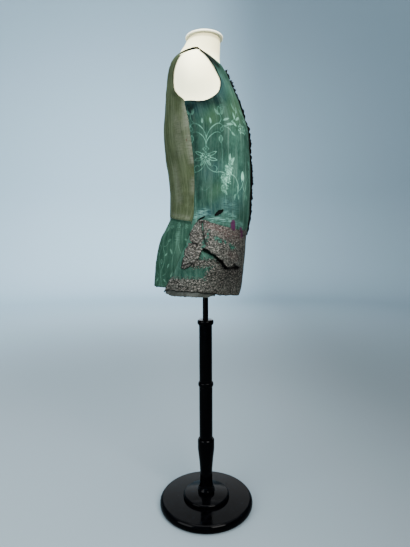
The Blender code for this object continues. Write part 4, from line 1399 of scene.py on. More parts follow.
        # Painted shading: positive values paint shade down to a tenth, negative ones paint light up
        # to twice as bright.
        dusk = w.calc("MULTIPLY", w.trait("dusk"), w.calc(
            "MULTIPLY_ADD", w.noise(place, 130.0, 3.0, 0.7), 0.9, 0.52))
        light = w.calc("MULTIPLY", w.step(dusk, 0.0, 1.0, 1.0, 0.1),
                       w.step(dusk, -1.0, 0.0, 2.0, 1.0))
        colour = w.darken(colour, light)
        colour = self.edges(w, place, colour)
        w.feed(shader.inputs["Base Color"], colour)
        dull = w.step(share, 0.0, 1.0, self.roughness, self.roughness - 0.1)
        w.feed(shader.inputs["Roughness"], w.calc("SUBTRACT", dull, w.calc(
            "MULTIPLY", metal, w.calc("MULTIPLY", brocade.outputs["Glint"], 0.2))))
        w.feed(shader.inputs["Metallic"], w.calc("MULTIPLY", metal, 0.3))
        relief = w.calc("MULTIPLY_ADD", streaks.outputs["Fine"], 0.5, w.calc(
            "MULTIPLY", streaks.outputs["Weave"], 0.35))
        relief = w.calc("MULTIPLY_ADD", w.calc("MULTIPLY", metal, brocade.outputs["Height"]),
                        2.2, relief)
        bump = w.node("ShaderNodeBump", {"Height": relief, "Strength": 0.55, "Distance": 0.0006})
        w.feed(shader.inputs["Normal"], bump.outputs[0])
        shader.inputs["Specular IOR Level"].default_value = self.gloss


@dataclass(frozen=True)
class Satin(Finish):
    """Faded satin with upright streaks, a paler side, painted shade, a dark neck edge and a painted
    shade line along the armhole.
    """

    name: str
    deep: Colour
    mid: Colour
    pale: Colour
    worn: Colour
    stain: Colour
    roughness: float = 0.70
    # The neck trim's colour, also used for the painted shade along the armhole.
    trim: Colour = (0.0090, 0.0095, 0.0080)
    gloss: float = 0.006

    def wire(self, w: Wiring, shader: bpy.types.Node) -> None:
        """Streaks, worn side, stains, painted shade, the neck trim, the armhole's painted edge shade
        and relief.
        """
        place = w.cloth_place()
        streaks = w.use(streak_group(), Place=place)
        cloud = w.noise(place, 17.0, 4.0, 0.65)
        colour = w.blend(w.step(cloud, 0.3, 0.7), self.deep, self.mid)
        colour = w.blend(w.step(streaks.outputs["Broad"], 0.42, 0.7, 0.0, 0.6), colour, self.pale)
        colour = w.blend(w.step(streaks.outputs["Fine"], 0.45, 0.65, 0.0, 0.5), colour, self.pale)
        cross = w.noise(w.stretched(place, (40.0, 220.0, 1.0)), 1.0, 3.0, 0.6)
        fretted = w.calc("MULTIPLY", w.trait("worn"), w.step(cross, 0.3, 0.62, 0.35, 1.15))
        colour = w.blend(w.calc("MULTIPLY", fretted, 0.85, clamp=True), colour, self.worn)
        stain = w.step(w.calc("MULTIPLY", w.trait("stain"), w.noise(place, 300.0, 2.0)), 0.1, 0.4)
        colour = w.blend(stain, colour, self.stain)
        colour = w.darken(colour, w.step(streaks.outputs["Fine"], 0.3, 0.5, 0.72, 1.0))
        # Painted shade where the stored shading is positive.
        colour = w.darken(colour, w.step(w.trait("dusk"), 0.0, 1.0, 1.0, 0.25))
        colour = w.blend(w.step(w.trait("neck_edge"), 0.0045, 0.0060, 0.8, 0.0), colour,
                         self.trim)
        # Painted shade: a dark line along the armhole edge.
        colour = w.blend(w.step(w.trait("bound_edge"), 0.0006, 0.0014, 0.6, 0.0), colour,
                         self.trim)
        w.feed(shader.inputs["Base Color"], colour)
        w.feed(shader.inputs["Roughness"], w.step(streaks.outputs["Fine"], 0.2, 0.8,
                                                  self.roughness + 0.08, self.roughness - 0.06))
        relief = w.calc("MULTIPLY_ADD", streaks.outputs["Fine"], 0.6, w.calc(
            "MULTIPLY", streaks.outputs["Weave"], 0.35))
        bump = w.node("ShaderNodeBump", {"Height": relief, "Strength": 0.5, "Distance": 0.0006})
        w.feed(shader.inputs["Normal"], bump.outputs[0])
        shader.inputs["Specular IOR Level"].default_value = self.gloss


@dataclass(frozen=True)
class FlapBrocade(Finish):
    """The pocket flaps' tarnished brocade with green and pink areas, and painted shade in its
    creases and along its free edges.
    """

    name: str
    green: Colour
    pink: Colour
    stain: Colour
    # The near-black colour of the painted shade along the free edges.
    edge: Colour
    roughness: float = 0.52

    def wire(self, w: Wiring, shader: bpy.types.Node) -> None:
        """Brocade, coloured areas, painted shade in the creases and along the free edges, and
        relief.
        """
        place = w.cloth_place()
        brocade = w.use(brocade_group(), Place=place, Dark=BROCADE.dark, Body=BROCADE.body,
                        Light=BROCADE.light)
        colour = brocade.outputs["Colour"]
        ragged = w.noise(place, 150.0, 3.0, 0.7)
        pink = w.calc("MULTIPLY", w.trait("pink"), w.step(ragged, 0.35, 0.6))
        colour = w.blend(w.calc("MULTIPLY", pink, 0.45, clamp=True), colour, self.pink)
        edge = w.calc("MULTIPLY_ADD", ragged, 0.026, -0.013)
        green = w.step(w.calc("ADD", w.trait("green"), edge), -0.0010, 0.0010)
        colour = w.blend(w.calc("MULTIPLY", green, 0.85), colour, w.darken(
            self.green, w.step(w.noise(place, 170.0, 3.0, 0.7), 0.38, 0.62, 0.08, 1.5)))
        stain = w.step(w.calc("MULTIPLY", w.trait("stain"), ragged), 0.20, 0.38)
        colour = w.blend(w.calc("MULTIPLY", stain, 0.85), colour, self.stain)
        # Painted shade in the flap's creases and near its edges.
        colour = w.darken(colour, w.step(w.trait("dusk"), 0.0, 1.0, 1.0, 0.12))
        # Painted shade: a near-black band along the three free edges.
        colour = w.blend(w.step(w.trait("bound_edge"), 0.0014, 0.0030, 0.9, 0.0), colour,
                         self.edge)
        w.feed(shader.inputs["Base Color"], colour)
        w.feed(shader.inputs["Roughness"], w.step(brocade.outputs["Glint"], 0.0, 1.0,
                                                  self.roughness, self.roughness - 0.18))
        w.feed(shader.inputs["Metallic"], w.step(green, 0.0, 1.0, 0.3, 0.0))
        bump = w.node("ShaderNodeBump", {"Height": brocade.outputs["Height"], "Strength": 0.7,
                                         "Distance": 0.0012})
        w.feed(shader.inputs["Normal"], bump.outputs[0])
        shader.inputs["Specular IOR Level"].default_value = 0.03


@dataclass(frozen=True)
class PlainCloth(Finish):
    """A plain woven cloth, clouded by dirt and slightly nubbly."""

    name: str
    colour: Colour
    soiled: Colour
    roughness: float = 0.85
    cloud_size: float = 30.0
    relief: float = 0.5

    def wire(self, w: Wiring, shader: bpy.types.Node) -> None:
        """Cloudy colour and a weave."""
        place = w.object_place()
        cloud = w.noise(place, self.cloud_size, 4.0, 0.65)
        speck = w.noise(place, 420.0, 2.0, 0.6)
        colour = w.blend(w.step(cloud, 0.35, 0.65), self.colour, self.soiled)
        colour = w.darken(colour, w.step(speck, 0.3, 0.7, 0.8, 1.15))
        w.feed(shader.inputs["Base Color"], colour)
        w.feed(shader.inputs["Roughness"], w.step(speck, 0.3, 0.7, self.roughness,
                                                  self.roughness - 0.08))
        height = w.calc("MULTIPLY_ADD", speck, 0.6, w.noise(place, 900.0, 1.0))
        bump = w.node("ShaderNodeBump", {"Height": height, "Strength": self.relief,
                                         "Distance": 0.0006})
        w.feed(shader.inputs["Normal"], bump.outputs[0])
        shader.inputs["Specular IOR Level"].default_value = 0.02


@dataclass(frozen=True)
class Jersey(Finish):
    """Fine cream jersey stretched over the form."""

    name: str
    colour: Colour
    shade: Colour
    # The colour of the painted shade on the neck.
    neck: Colour
    roughness: float = 0.72

    def wire(self, w: Wiring, shader: bpy.types.Node) -> None:
        """A faint cloud, the knit's wales, a soft nap, and painted shade on the neck, under the
        cap's rim and where the cloth covers the form.
        """
        place = w.object_place()
        cloud = w.noise(place, 9.0, 3.0, 0.55)
        colour = w.blend(w.step(cloud, 0.4, 0.75), self.colour, self.shade)
        parts = w.node("ShaderNodeSeparateXYZ", {0: place})
        turn = w.calc("ARCTAN2", parts.outputs[1], parts.outputs[0])
        wales = w.calc("SINE", w.calc("MULTIPLY", turn, 700.0))
        courses = w.calc("SINE", w.calc("MULTIPLY", parts.outputs[2], 2 * math.pi / 0.0013))
        knit = w.calc("MULTIPLY_ADD", w.calc("MULTIPLY", wales, courses), 0.5, 0.5)
        colour = w.darken(colour, w.step(knit, 0.0, 1.0, 0.965, 1.0))
        # Painted shadow under the neck cap's rim.
        colour = w.darken(colour, w.step(parts.outputs[2], 1.5590, 1.5655, 1.0, 0.30))
        # Painted shade under the cloth: along the centre front and back below the neckline, and all
        # round from below the waist up to under the armholes.
        across = w.calc("ABSOLUTE", parts.outputs[1])
        seam = w.calc("MULTIPLY", w.step(across, 0.005, 0.009, 1.0, 0.0),
                      w.step(parts.outputs[2], 1.465, 1.490, 1.0, 0.0))
        under = w.calc("MULTIPLY", w.step(parts.outputs[2], 0.93, 0.95),
                       w.step(parts.outputs[2], 1.26, 1.28, 1.0, 0.0))
        colour = w.darken(colour, w.calc(
            "MULTIPLY_ADD", w.calc("MAXIMUM", seam, under), -0.93, 1.0))
        # Painted shade on the neck.
        neck = w.calc("MULTIPLY", w.step(parts.outputs[2], 1.500, 1.530), 0.45)
        colour = w.blend(neck, colour, self.neck)
        w.feed(shader.inputs["Base Color"], colour)
        w.feed(shader.inputs["Roughness"], w.step(cloud, 0.3, 0.7, self.roughness + 0.05,
                                                  self.roughness - 0.05))
        bump = w.node("ShaderNodeBump", {"Height": knit, "Strength": 0.25, "Distance": 0.0004})
        w.feed(shader.inputs["Normal"], bump.outputs[0])
        shader.inputs["Sheen Weight"].default_value = 0.1


@dataclass(frozen=True)
class Lacquer(Finish):
    """Black lacquer or paint with dust, fine scratches and a clear coat."""

    name: str
    colour: Colour
    dust: Colour
    roughness: float = 0.08
    metallic: float = 0.0
    gloss: float = 0.10

    def wire(self, w: Wiring, shader: bpy.types.Node) -> None:
        """Dust on what faces up, brushing marks, and small dents in the gloss."""
        place = w.object_place()
        parts = w.node("ShaderNodeSeparateXYZ", {0: w.node("ShaderNodeNewGeometry").outputs[
            "Normal"]})
        faint = w.noise(place, 55.0, 4.0, 0.65)
        dust = w.calc("MULTIPLY", w.step(parts.outputs[2], 0.4, 1.0), w.step(faint, 0.4, 0.75))
        rubbed = w.noise(w.stretched(place, (60.0, 60.0, 700.0)), 1.0, 3.0, 0.6)
        colour = w.blend(w.calc("MULTIPLY", dust, 0.10), self.colour, self.dust)
        w.feed(shader.inputs["Base Color"], colour)
        rough = w.calc("MULTIPLY_ADD", rubbed, 0.05, self.roughness - 0.025)
        w.feed(shader.inputs["Roughness"], w.calc("MULTIPLY_ADD", dust, 0.2, rough))
        height = w.calc("MULTIPLY_ADD", rubbed, 0.4, faint)
        bump = w.node("ShaderNodeBump", {"Height": height, "Strength": 0.04,
                                         "Distance": 0.0005})
        w.feed(shader.inputs["Normal"], bump.outputs[0])
        shader.inputs["Metallic"].default_value = self.metallic
        shader.inputs["Specular IOR Level"].default_value = self.gloss


@dataclass(frozen=True)
class StageFinish(Finish):
    """The plain pale floor, paler where it turns up into the wall, with a painted pool of light and
    painted shade towards +X.
    """

    name: str
    colour: Colour
    wall: Colour
    roughness: float = 0.9

    def wire(self, w: Wiring, shader: bpy.types.Node) -> None:
        """A colour that changes softly to the wall's, with a painted pool of light and painted shade
        towards +X.
        """
        place = w.object_place()
        parts = w.node("ShaderNodeSeparateXYZ", {0: place})
        away = w.calc("MULTIPLY_ADD", parts.outputs[2], 1.2, w.vector(
            "LENGTH", w.stretched(place, (1.0, 1.0, 0.0))))
        colour = w.blend(w.step(away, 1.3, 6.8), self.colour, self.wall)
        # A painted pool of light round a point high on the -X side.
        pool = w.vector("LENGTH", w.vector("MULTIPLY", w.vector(
            "SUBTRACT", place, (-1.2, 0.0, 1.6)), (0.22, 0.0, 0.24)))
        colour = w.darken(colour, w.step(pool, 0.1, 1.25, 1.0, 0.44))
        # Painted shade towards +X.
        colour = w.darken(colour, w.step(parts.outputs[0], -0.3, 1.2, 1.0, 0.56))
        w.feed(shader.inputs["Base Color"], colour)
        shader.inputs["Roughness"].default_value = self.roughness
        shader.inputs["Specular IOR Level"].default_value = 0.1


SILK = FiguredSilk(
    name="figured_silk", deep=(0.0061, 0.0186, 0.0136), mid=(0.0130, 0.0350, 0.0251),
    pale=(0.0429, 0.0795, 0.0598), cool=(0.0065, 0.0186, 0.0211), leafy=(0.0174, 0.0406, 0.0207),
    worn=(0.0680, 0.1520, 0.1280), vine_colour=(0.0760, 0.1840, 0.1320), motif=BODICE_VINE,
    axis=0.240, base=1.02, vine_share=0.8)
SKIRT = FiguredSilk(
    name="skirt_silk", deep=(0.0048, 0.0152, 0.0100), mid=(0.0096, 0.0260, 0.0170),
    pale=(0.0270, 0.0545, 0.0392), cool=(0.0058, 0.0206, 0.0176), leafy=(0.0081, 0.0253, 0.0122),
    worn=(0.0360, 0.0760, 0.0560), vine_colour=(0.0560, 0.1200, 0.0840), motif=SKIRT_VINE,
    axis=0.405, base=0.79, vine_share=0.8)
KHAKI = Satin(
    name="khaki_satin", deep=(0.0130, 0.0178, 0.0080), mid=(0.0236, 0.0312, 0.0145),
    pale=(0.0450, 0.0560, 0.0320), worn=(0.0740, 0.0790, 0.0590), stain=(0.0320, 0.0120, 0.0096))
FLAP = FlapBrocade(
    name="metal_brocade", green=(0.0080, 0.0336, 0.0240), pink=(0.0760, 0.0440, 0.0400),
    stain=(0.0240, 0.0032, 0.0176), edge=(0.0013, 0.0012, 0.0010))
# Near black as painted shade: the closing facing in the gap between the fronts, and the flaps'
# undersides.
FACING = PlainCloth(name="dark_facing", colour=(0.0006, 0.0007, 0.0007),
                    soiled=(0.0014, 0.0014, 0.0013))
LINING = PlainCloth(name="pale_lining", colour=(0.0336, 0.0360, 0.0320),
                    soiled=(0.0160, 0.0176, 0.0152), cloud_size=45.0)
# Near black as painted shade: the pocket bag seen through the rips.
POCKET = PlainCloth(name="pocket_dark", colour=(0.0006, 0.0011, 0.0011),
                    soiled=(0.0011, 0.0016, 0.0014))
THREAD = PlainCloth(name="button_thread", colour=(0.0048, 0.0046, 0.0038),
                    soiled=(0.0019, 0.0020, 0.0018), roughness=0.6, relief=0.8)
FORM = Jersey(name="form_cream", colour=(0.940, 0.895, 0.560), shade=(0.925, 0.865, 0.520),
              neck=(0.700, 0.600, 0.290))
CAP = Lacquer(name="cap_white", colour=(0.7600, 0.7400, 0.5600), dust=(0.6400, 0.6200, 0.4600),
              roughness=0.45, gloss=0.10)
BLACK = Lacquer(name="black_lacquer", colour=(0.0002, 0.0002, 0.0003), dust=(0.0030, 0.0034, 0.0046),
                gloss=0.020)
STEEL = Lacquer(name="black_steel", colour=(0.0003, 0.0003, 0.0003), dust=(0.0040, 0.0040, 0.0048),
                roughness=0.28, gloss=0.022)
FLOOR = StageFinish(name="floor", colour=(0.1220, 0.1540, 0.1700), wall=(0.5000, 0.6830, 0.7900))


# ---------------------------------------------------------------- cloth pieces


def flat_lift(level: np.ndarray) -> np.ndarray:
    """A panel that lies on the garment's outer face."""
    return np.zeros_like(level)


def under_lift(level: np.ndarray) -> np.ndarray:
    """A panel that lies under another."""
    return np.full_like(level, -(CLOTH_IN_FRAME + LAYER_GAP))


def lining_lift(level: np.ndarray) -> np.ndarray:
    """The hem lining hangs a little further in."""
    return under_lift(level) - LAYER_GAP


def skirt_lift(level: np.ndarray) -> np.ndarray:
    """The back skirt starts flush at the waist seam and passes under the front below it."""
    return under_lift(level) * smooth_step((SKIRT_SEAM - level) / SKIRT_TUCK)


@dataclass
class Panel:
    """A sewn cloth panel laid on the body, built as a thin shell."""

    name: str
    rows: Sequence[Row]
    side: Side
    slot: Slot
    finish: Finish
    nodes: tuple[str, ...]
    columns: int
    pitch: float = 0.0032
    lift_at: Callable[[np.ndarray], np.ndarray] = flat_lift
    dips: Sequence[Dip] = FLAT_DIPS
    trims: tuple[float, float, float] = (0.0, 0.0, 0.0)
    folds: Sequence[Fold] = ()
    brocade: Sequence[Patch] = ()
    cool: Sequence[Patch] = ()
    worn: Sequence[Patch] = ()
    dusk: Sequence[Patch] = ()
    stain: Sequence[Patch] = ()
    vine: Sequence[Patch] = ()
    sewn: tuple[str, ...] = ()
    bound: tuple[str, ...] = ()
    relief: float = 0.0006
    grain: float = 0.0
    ragged: float = 0.0
    edge_lift: float = 0.0
    from_back: bool = False
    seed: int = 1
    inside: Finish = LINING
    held: str = "hung"
    rests_on: tuple[str, ...] = ("dress_form",)
    angle: np.ndarray = field(default=None, repr=False)
    level: np.ndarray = field(default=None, repr=False)
    base: np.ndarray = field(default=None, repr=False)

    def lay_out(self) -> None:
        """Work out each point's angle, level and distance from the smooth face."""
        table = np.array(self.rows, float)
        spans = np.abs(np.diff(table, axis=0)) * np.array([0.0028, 1.0, 0.0028, 1.0])
        counts = [max(1, int(round(span.max() / self.pitch))) for span in spans]
        lines = catmull(table, counts)
        inner_trim, outer_trim, last_trim = self.trims
        direction = np.sign(lines[:, 2] - lines[:, 0])
        start = lines[:, 0] + direction * inner_trim
        end = lines[:, 2] - direction * outer_trim
        start[-1] += last_trim
        end[-1] += last_trim
        share = np.linspace(0.0, 1.0, self.columns + 1)[None, :]
        self.angle = start[:, None] + (end - start)[:, None] * share
        self.level = lines[:, 1:2] + (lines[:, 3:4] - lines[:, 1:2]) * share
        fade = 1.0 - smooth_step((lines[:, 1:2] - lines[0, 1]) / HEM_FADE)
        self.level = self.level + eased(self.dips, share) * fade
        self.base = self.lift_at(np.broadcast_to(lines[:, 1:2], self.angle.shape).copy())
        self.base = self.base + self.edge_lift * self.free_edge(share)

    def free_edge(self, share: np.ndarray) -> np.ndarray:
        """How much of the free rear edge's lift each point takes."""
        below = smooth_step((0.975 - self.level) / 0.045)
        return below * smooth_step((share - 0.86) / 0.14)

    def edges(self, points: np.ndarray) -> dict[str, np.ndarray]:
        """The panel's edges by name, as lines of points."""
        slit = np.abs(self.angle[:, 0]) < 1.0
        found = {"outer": points[:, -1], "low": points[0], "top": points[-1]}
        found["inner"] = points[:, 0]
        found["closing"] = points[slit, 0]
        neck = (self.level[:, 0] > 1.50) & (self.angle[:, 0] % 180.0 > 1.0)
        neck = neck & (self.angle[:, 0] % 180.0 < 179.0) if neck.any() else neck
        found["neck"] = points[neck, 0]
        arm = (self.level[:, -1] > 1.336) | ((self.angle[:, -1] < 104.0)
                                             & (self.level[:, -1] > 1.30))
        found["arm"] = points[arm, -1]
        found["side_seam"] = points[(~arm) & (self.level[:, -1] > 0.985), -1]
        found["vent"] = points[self.level[:, -1] < 0.985, -1]
        return {name: line for name, line in found.items() if len(line)}

    def seam_relief(self, points: np.ndarray, u: np.ndarray, v: np.ndarray) -> np.ndarray:
        """The valley along each sewn edge and the small puckers beside it."""
        total = np.zeros_like(u)
        edges = self.edges(points)
        for name in self.sewn:
            if name not in edges:
                continue
            gap = edge_distance(points, edges[name])
            total -= 0.0011 * np.exp(-(gap / 0.0022) ** 2)
            run = u if name in ("low", "top") else v
            wobble = unevenness(u, v, self.seed + 7, 0.03, 0.09, 4)
            pucker = np.sin(run * 2 * math.pi / 0.0115 + wobble * 1.6)
            total += 0.00028 * pucker * np.exp(-(gap / 0.0075) ** 2)
        return total

    def build(self) -> bpy.types.Object:
        """Returns:
            The finished object.
        """
        self.lay_out()
        sign = self.side.value
        u = BODY.around(self.angle, self.level)
        v = self.level.copy()
        if self.ragged:
            rough = unevenness(u, v * 0.0, self.seed + 3, 0.006, 0.03, 9)
            close = np.exp(-(np.arange(len(self.level)) / 3.0) ** 2)[:, None]
            self.level = self.level + self.ragged * rough * close
        smooth = BODY.cloth(sign * self.angle, self.level, self.base)
        lift = self.base + fold_lift(self.folds, u, v)
        lift = lift + self.relief * unevenness(u, v, self.seed, 0.028, 0.110, 12)
        lift = lift + self.grain * unevenness(u, v, self.seed + 5, 0.0055, 0.012, 16)
        lift = lift + self.seam_relief(smooth, u, v)
        points = BODY.cloth(sign * self.angle, self.level, lift)
        sheet = laid_grid(self.name, points)
        half_round = BODY.around(np.full_like(self.angle, 180.0), self.level)
        map_cloth(sheet, half_round - u if self.from_back else u, v)
        row, column = points.shape[0] // 2, points.shape[1] // 2
        face_outwards(sheet, BODY.normal(sign * self.angle[row:row + 1, column],
                                         self.level[row:row + 1, column])[0])
        self.keep_traits(sheet, smooth, u, v)
        self.thicken(sheet)
        self.cut(sheet)
        sheet.data.materials.clear()
        sheet.data.materials.append(self.finish.material())
        sheet.data.materials.append(self.inside.material())
        select_only(sheet)
        bpy.ops.object.shade_smooth_by_angle(angle=math.radians(50.0))
        attach(sheet, "form", self.nodes)
        return sheet

    def keep_traits(self, sheet: bpy.types.Object, points: np.ndarray, u: np.ndarray,
                    v: np.ndarray) -> None:
        """Store what the material reads: wear, stains, painted shading, weave areas and edge
        distances.
        """
        for name, patches in (("cool", self.cool), ("worn", self.worn), ("dusk", self.dusk),
                              ("stain", self.stain), ("vine", self.vine)):
            store(sheet, name, soft_field(patches, u, v))
        store(sheet, "brocade", edge_field(self.brocade, u, v))
        edges = self.edges(points)
        far = np.full_like(u, 1.0)
        neck = edge_distance(points, edges["neck"]) if "neck" in edges else far
        store(sheet, "neck_edge", neck)
        closing = edge_distance(points, edges["closing"]) if "closing" in edges else far
        store(sheet, "closing_edge", closing)
        arm = edge_distance(points, edges["arm"]) if "arm" in edges else far
        store(sheet, "arm_edge", arm)
        bound = far
        for name in self.bound:
            if name in edges:
                bound = np.minimum(bound, edge_distance(points, edges[name]))
        store(sheet, "bound_edge", bound)

    def thicken(self, sheet: bpy.types.Object) -> None:
        """Give the open sheet its thickness inwards, the lining as its inner face."""
        wall = sheet.modifiers.new("cloth_wall", "SOLIDIFY")
        wall.thickness = CLOTH_THICKNESS
        wall.offset = -1.0
        wall.material_offset = 1
        sheet.data.materials.append(self.finish.material())
        sheet.data.materials.append(self.inside.material())
        apply_modifiers(sheet)

    def cut(self, sheet: bpy.types.Object) -> None:
        """Openings in the finished shell; a plain panel has none."""


@dataclass
class TornFront(Panel):
    """A front panel with torn openings above its pocket."""

    rips: Sequence[Rip] = RIPS

    def cut(self, sheet: bpy.types.Object) -> None:
        """Cut each rip through the shell with a ragged cutter, then clear the cutters."""
        for number, rip in enumerate(self.rips):
            cutter = self.cutter(number, rip)
            tear = sheet.modifiers.new("rip", "BOOLEAN")
            tear.operation = "DIFFERENCE"
            tear.solver = "EXACT"
            tear.object = cutter
            apply_modifiers(sheet)
            bpy.data.objects.remove(cutter, do_unlink=True)

    def cutter(self, number: int, rip: Rip) -> bpy.types.Object:
        """A ragged lens through the cloth along the rip.

        Args:
            number: which rip it is, for its own raggedness.
            rip: the line and width.

        Returns:
            The closed cutter.
        """
        sign = self.side.value
        ends = BODY.cloth(np.array([sign * rip.start_angle, sign * rip.end_angle]),
                          np.array([rip.start_level, rip.end_level]), np.zeros(2))
        middle = (np.array([sign * (rip.start_angle + rip.end_angle) / 2]),
                  np.array([(rip.start_level + rip.end_level) / 2]))
        outward = BODY.normal(*middle)[0]
        run = ends[1] - ends[0]
        across = np.cross(outward, run)
        across /= np.linalg.norm(across)
        draw = np.random.default_rng(40 + number)
        sides = 36
        bpy.ops.object.select_all(action="DESELECT")
        bpy.ops.mesh.primitive_circle_add(vertices=sides, radius=1.0, fill_type="NGON")
        cutter = bpy.context.object
        for vertex in cutter.data.vertices:
            reach = rip.width / 2 * (0.72 + 0.42 * draw.random())
            along = 0.5 + vertex.co.x * (0.5 + 0.03 * draw.random())
            place = ends[0] + run * along + across * vertex.co.y * reach - outward * 0.006
            vertex.co = Vector(place)
        bpy.ops.object.mode_set(mode="EDIT")
        bpy.ops.mesh.select_all(action="SELECT")
        bpy.ops.mesh.extrude_region_move(
            TRANSFORM_OT_translate={"value": tuple(outward * 0.012)})
        bpy.ops.mesh.select_all(action="SELECT")
        bpy.ops.mesh.normals_make_consistent(inside=False)
        bpy.ops.object.mode_set(mode="OBJECT")
        return cutter


@dataclass
class PocketFlap(Panel):
    """A lobed pocket flap, sewn along its top, its free edge standing off the cloth."""

    green: Sequence[Patch] = FLAP_GREEN
    pink: Sequence[Patch] = FLAP_PINK
    flap_rows: int = 64
    per_column: int = 7

    def lay_out(self) -> None:
        """Run the grid down the flap's columns, row by row from its free edge up."""
        table = np.array(FLAP_COLUMNS, float)
        lines = catmull(table, [self.per_column] * (len(table) - 1), held=False)
        share = np.linspace(1.0, 0.0, self.flap_rows + 1)[:, None]
        self.angle = lines[None, :, 0] + (lines[:, 2] - lines[:, 0])[None, :] * share
        self.level = lines[None, :, 1] + (lines[:, 3] - lines[:, 1])[None, :] * share
        run = lines[None, :, 2] * 0.0028
        rough = unevenness(run, run * 0.0, self.seed + 3, 0.006, 0.026, 9)
        self.level = self.level + 0.0011 * rough * smooth_step((share - 0.9) / 0.1)
        curl = smooth_step(share) + 0.18 * smooth_step((share - 0.82) / 0.18)
        self.base = LAYER_GAP + CLOTH_IN_FRAME + lines[None, :, 4] * curl

    def keep_traits(self, sheet: bpy.types.Object, points: np.ndarray, u: np.ndarray,
                    v: np.ndarray) -> None:
        """Store the areas and the distance to the free edges, for their painted shade."""
        for name, patches in (("pink", self.pink), ("dusk", self.dusk), ("stain", self.stain)):
            store(sheet, name, soft_field(patches, u, v))
        store(sheet, "green", edge_field(self.green, u, v))
        bound = np.full_like(u, 1.0)
        for edge in (points[0], points[:, 0], points[:, -1]):
            bound = np.minimum(bound, edge_distance(points, edge))
        store(sheet, "bound_edge", bound)


@dataclass
class ClosingFacing:
    """The facing that stands forward along the closing, wavy between the buttons, near black as
    painted shade for the gap between the fronts.
    """

    name: str = "facing_closing"
    bottom: float = 0.948
    top: float = 1.5305
    top_button: float = 1.464
    pitch: float = 0.0437
    ripple: float = 0.16
    bump: float = 0.0034
    rows: int = 420
    across: int = 6
    thickness: float = 0.0015
    reaches: tuple[tuple[float, float], ...] = (
        (0.940, 0.0030), (0.985, 0.0080), (1.060, 0.0092), (1.130, 0.0100), (1.200, 0.0080),
        (1.240, 0.0082), (1.300, 0.0095), (1.360, 0.0108), (1.430, 0.0124), (1.480, 0.0124),
        (1.531, 0.0120))

    def build(self) -> bpy.types.Object:
        """Model the facing as a thin upright strip.

        Returns:
            The finished object.
        """
        level = np.linspace(self.bottom, self.top, self.rows + 1)
        phase = (level - self.top_button) / self.pitch * 2 * math.pi
        wavy = 1.0 - self.ripple * (0.5 + 0.5 * np.cos(phase))
        frayed = 1.0 + 0.20 * unevenness(level, level * 0.0, 21, 0.005, 0.024, 10)
        nearest = (phase / (2 * math.pi) + 0.5) % 1.0 - 0.5
        pulled = self.bump * np.exp(-(nearest * self.pitch / 0.0055) ** 2)
        reach = eased(self.reaches, level) * wavy * frayed + pulled * (level > 1.0)
        share = np.linspace(0.0, 1.0, self.across + 1)
        lift = 0.0006 + reach[:, None] * share[None, :]
        levels = np.broadcast_to(level[:, None], lift.shape)
        points = BODY.cloth(np.zeros_like(lift), levels, lift)
        sway = 0.0011 * unevenness(level, level * 0.0, 22, 0.018, 0.060, 6)
        points[..., 1] += sway[:, None] * share[None, :] ** 1.5
        strip = laid_grid(self.name, points)
        map_cloth(strip, lift, levels)
        wall = strip.modifiers.new("cloth_wall", "SOLIDIFY")
        wall.thickness = self.thickness
        wall.offset = 0.0
        apply_modifiers(strip)
        strip.data.materials.clear()
        strip.data.materials.append(FACING.material())
        select_only(strip)
        bpy.ops.object.shade_smooth_by_angle(angle=math.radians(50.0))
        attach(strip, "form", ("closing_facing",))
        return strip


# ---------------------------------------------------------------- turned pieces


class Turn(NamedTuple):
    """One ring of a turned piece."""

    radius: float
    height: float


@dataclass
class Turned:
    """A round piece turned about the pole, its profile spun and its edges eased."""

    name: str
    profile: Sequence[Turn]
    slot: Slot
    finish: Finish
    nodes: tuple[str, ...]
    body: str
    bored: bool = False
    steps: int = 96
    easing: float = 0.0010

    def spun(self) -> bpy.types.Object:
        """Spin the profile about the pole and close the skin."""
        path = [(turn.radius, 0.0, turn.height) for turn in self.profile]
        if not self.bored:
            path = [(0.0, 0.0, path[0][2])] + path + [(0.0, 0.0, path[-1][2])]
        links = [(i, i + 1) for i in range(len(path) - 1)]
        if self.bored:
            links.append((len(path) - 1, 0))
        mesh = bpy.data.meshes.new(self.name)
        mesh.from_pydata(path, links, [])
        piece = bpy.data.objects.new(self.name, mesh)
        bpy.context.scene.collection.objects.link(piece)
        select_only(piece)
        bpy.ops.object.mode_set(mode="EDIT")
        bpy.ops.mesh.select_all(action="SELECT")
        bpy.ops.mesh.spin(steps=self.steps, angle=2 * math.pi, center=(0, 0, 0), axis=(0, 0, 1))
        bpy.ops.mesh.select_all(action="SELECT")
        bpy.ops.mesh.remove_doubles(threshold=1e-5)
        bpy.ops.mesh.normals_make_consistent(inside=False)
        bpy.ops.object.mode_set(mode="OBJECT")
        return piece

    def build(self) -> bpy.types.Object:
        """Model and dress the piece.

        Returns:
            The finished object.
        """
        piece = self.spun()
        if self.easing:
            ease = piece.modifiers.new("eased_edges", "BEVEL")
            ease.width = self.easing
            ease.segments = 3
            ease.limit_method = "ANGLE"
            ease.angle_limit = math.radians(28.0)
            apply_modifiers(piece)
        piece.data.materials.append(self.finish.material())
        select_only(piece)
        bpy.ops.object.shade_smooth_by_angle(angle=math.radians(40.0))
        attach(piece, self.body, self.nodes)
        return piece


def rounded_rim(radius: float, low: float, high: float, bead: float,
                steps: int) -> tuple[Turn, ...]:
    """The profile of a disc whose rim is a half round.

    Args:
        radius: the rim's outermost radius.
        low: the underside's height.
        high: the top's height.
        bead: how far the half round reaches in from the rim.
        steps: rows round the rim.

    Returns:
        The profile from the underside to the top.
    """
    rim = [Turn(radius - bead, low)]
    for k in range(1, steps):
        turn = math.pi * k / steps - math.pi / 2
        rim.append(Turn(radius - bead + bead * math.cos(turn),
                        (low + high) / 2 + (high - low) / 2 * math.sin(turn)))
    rim.append(Turn(radius - bead, high))
    return tuple(rim)


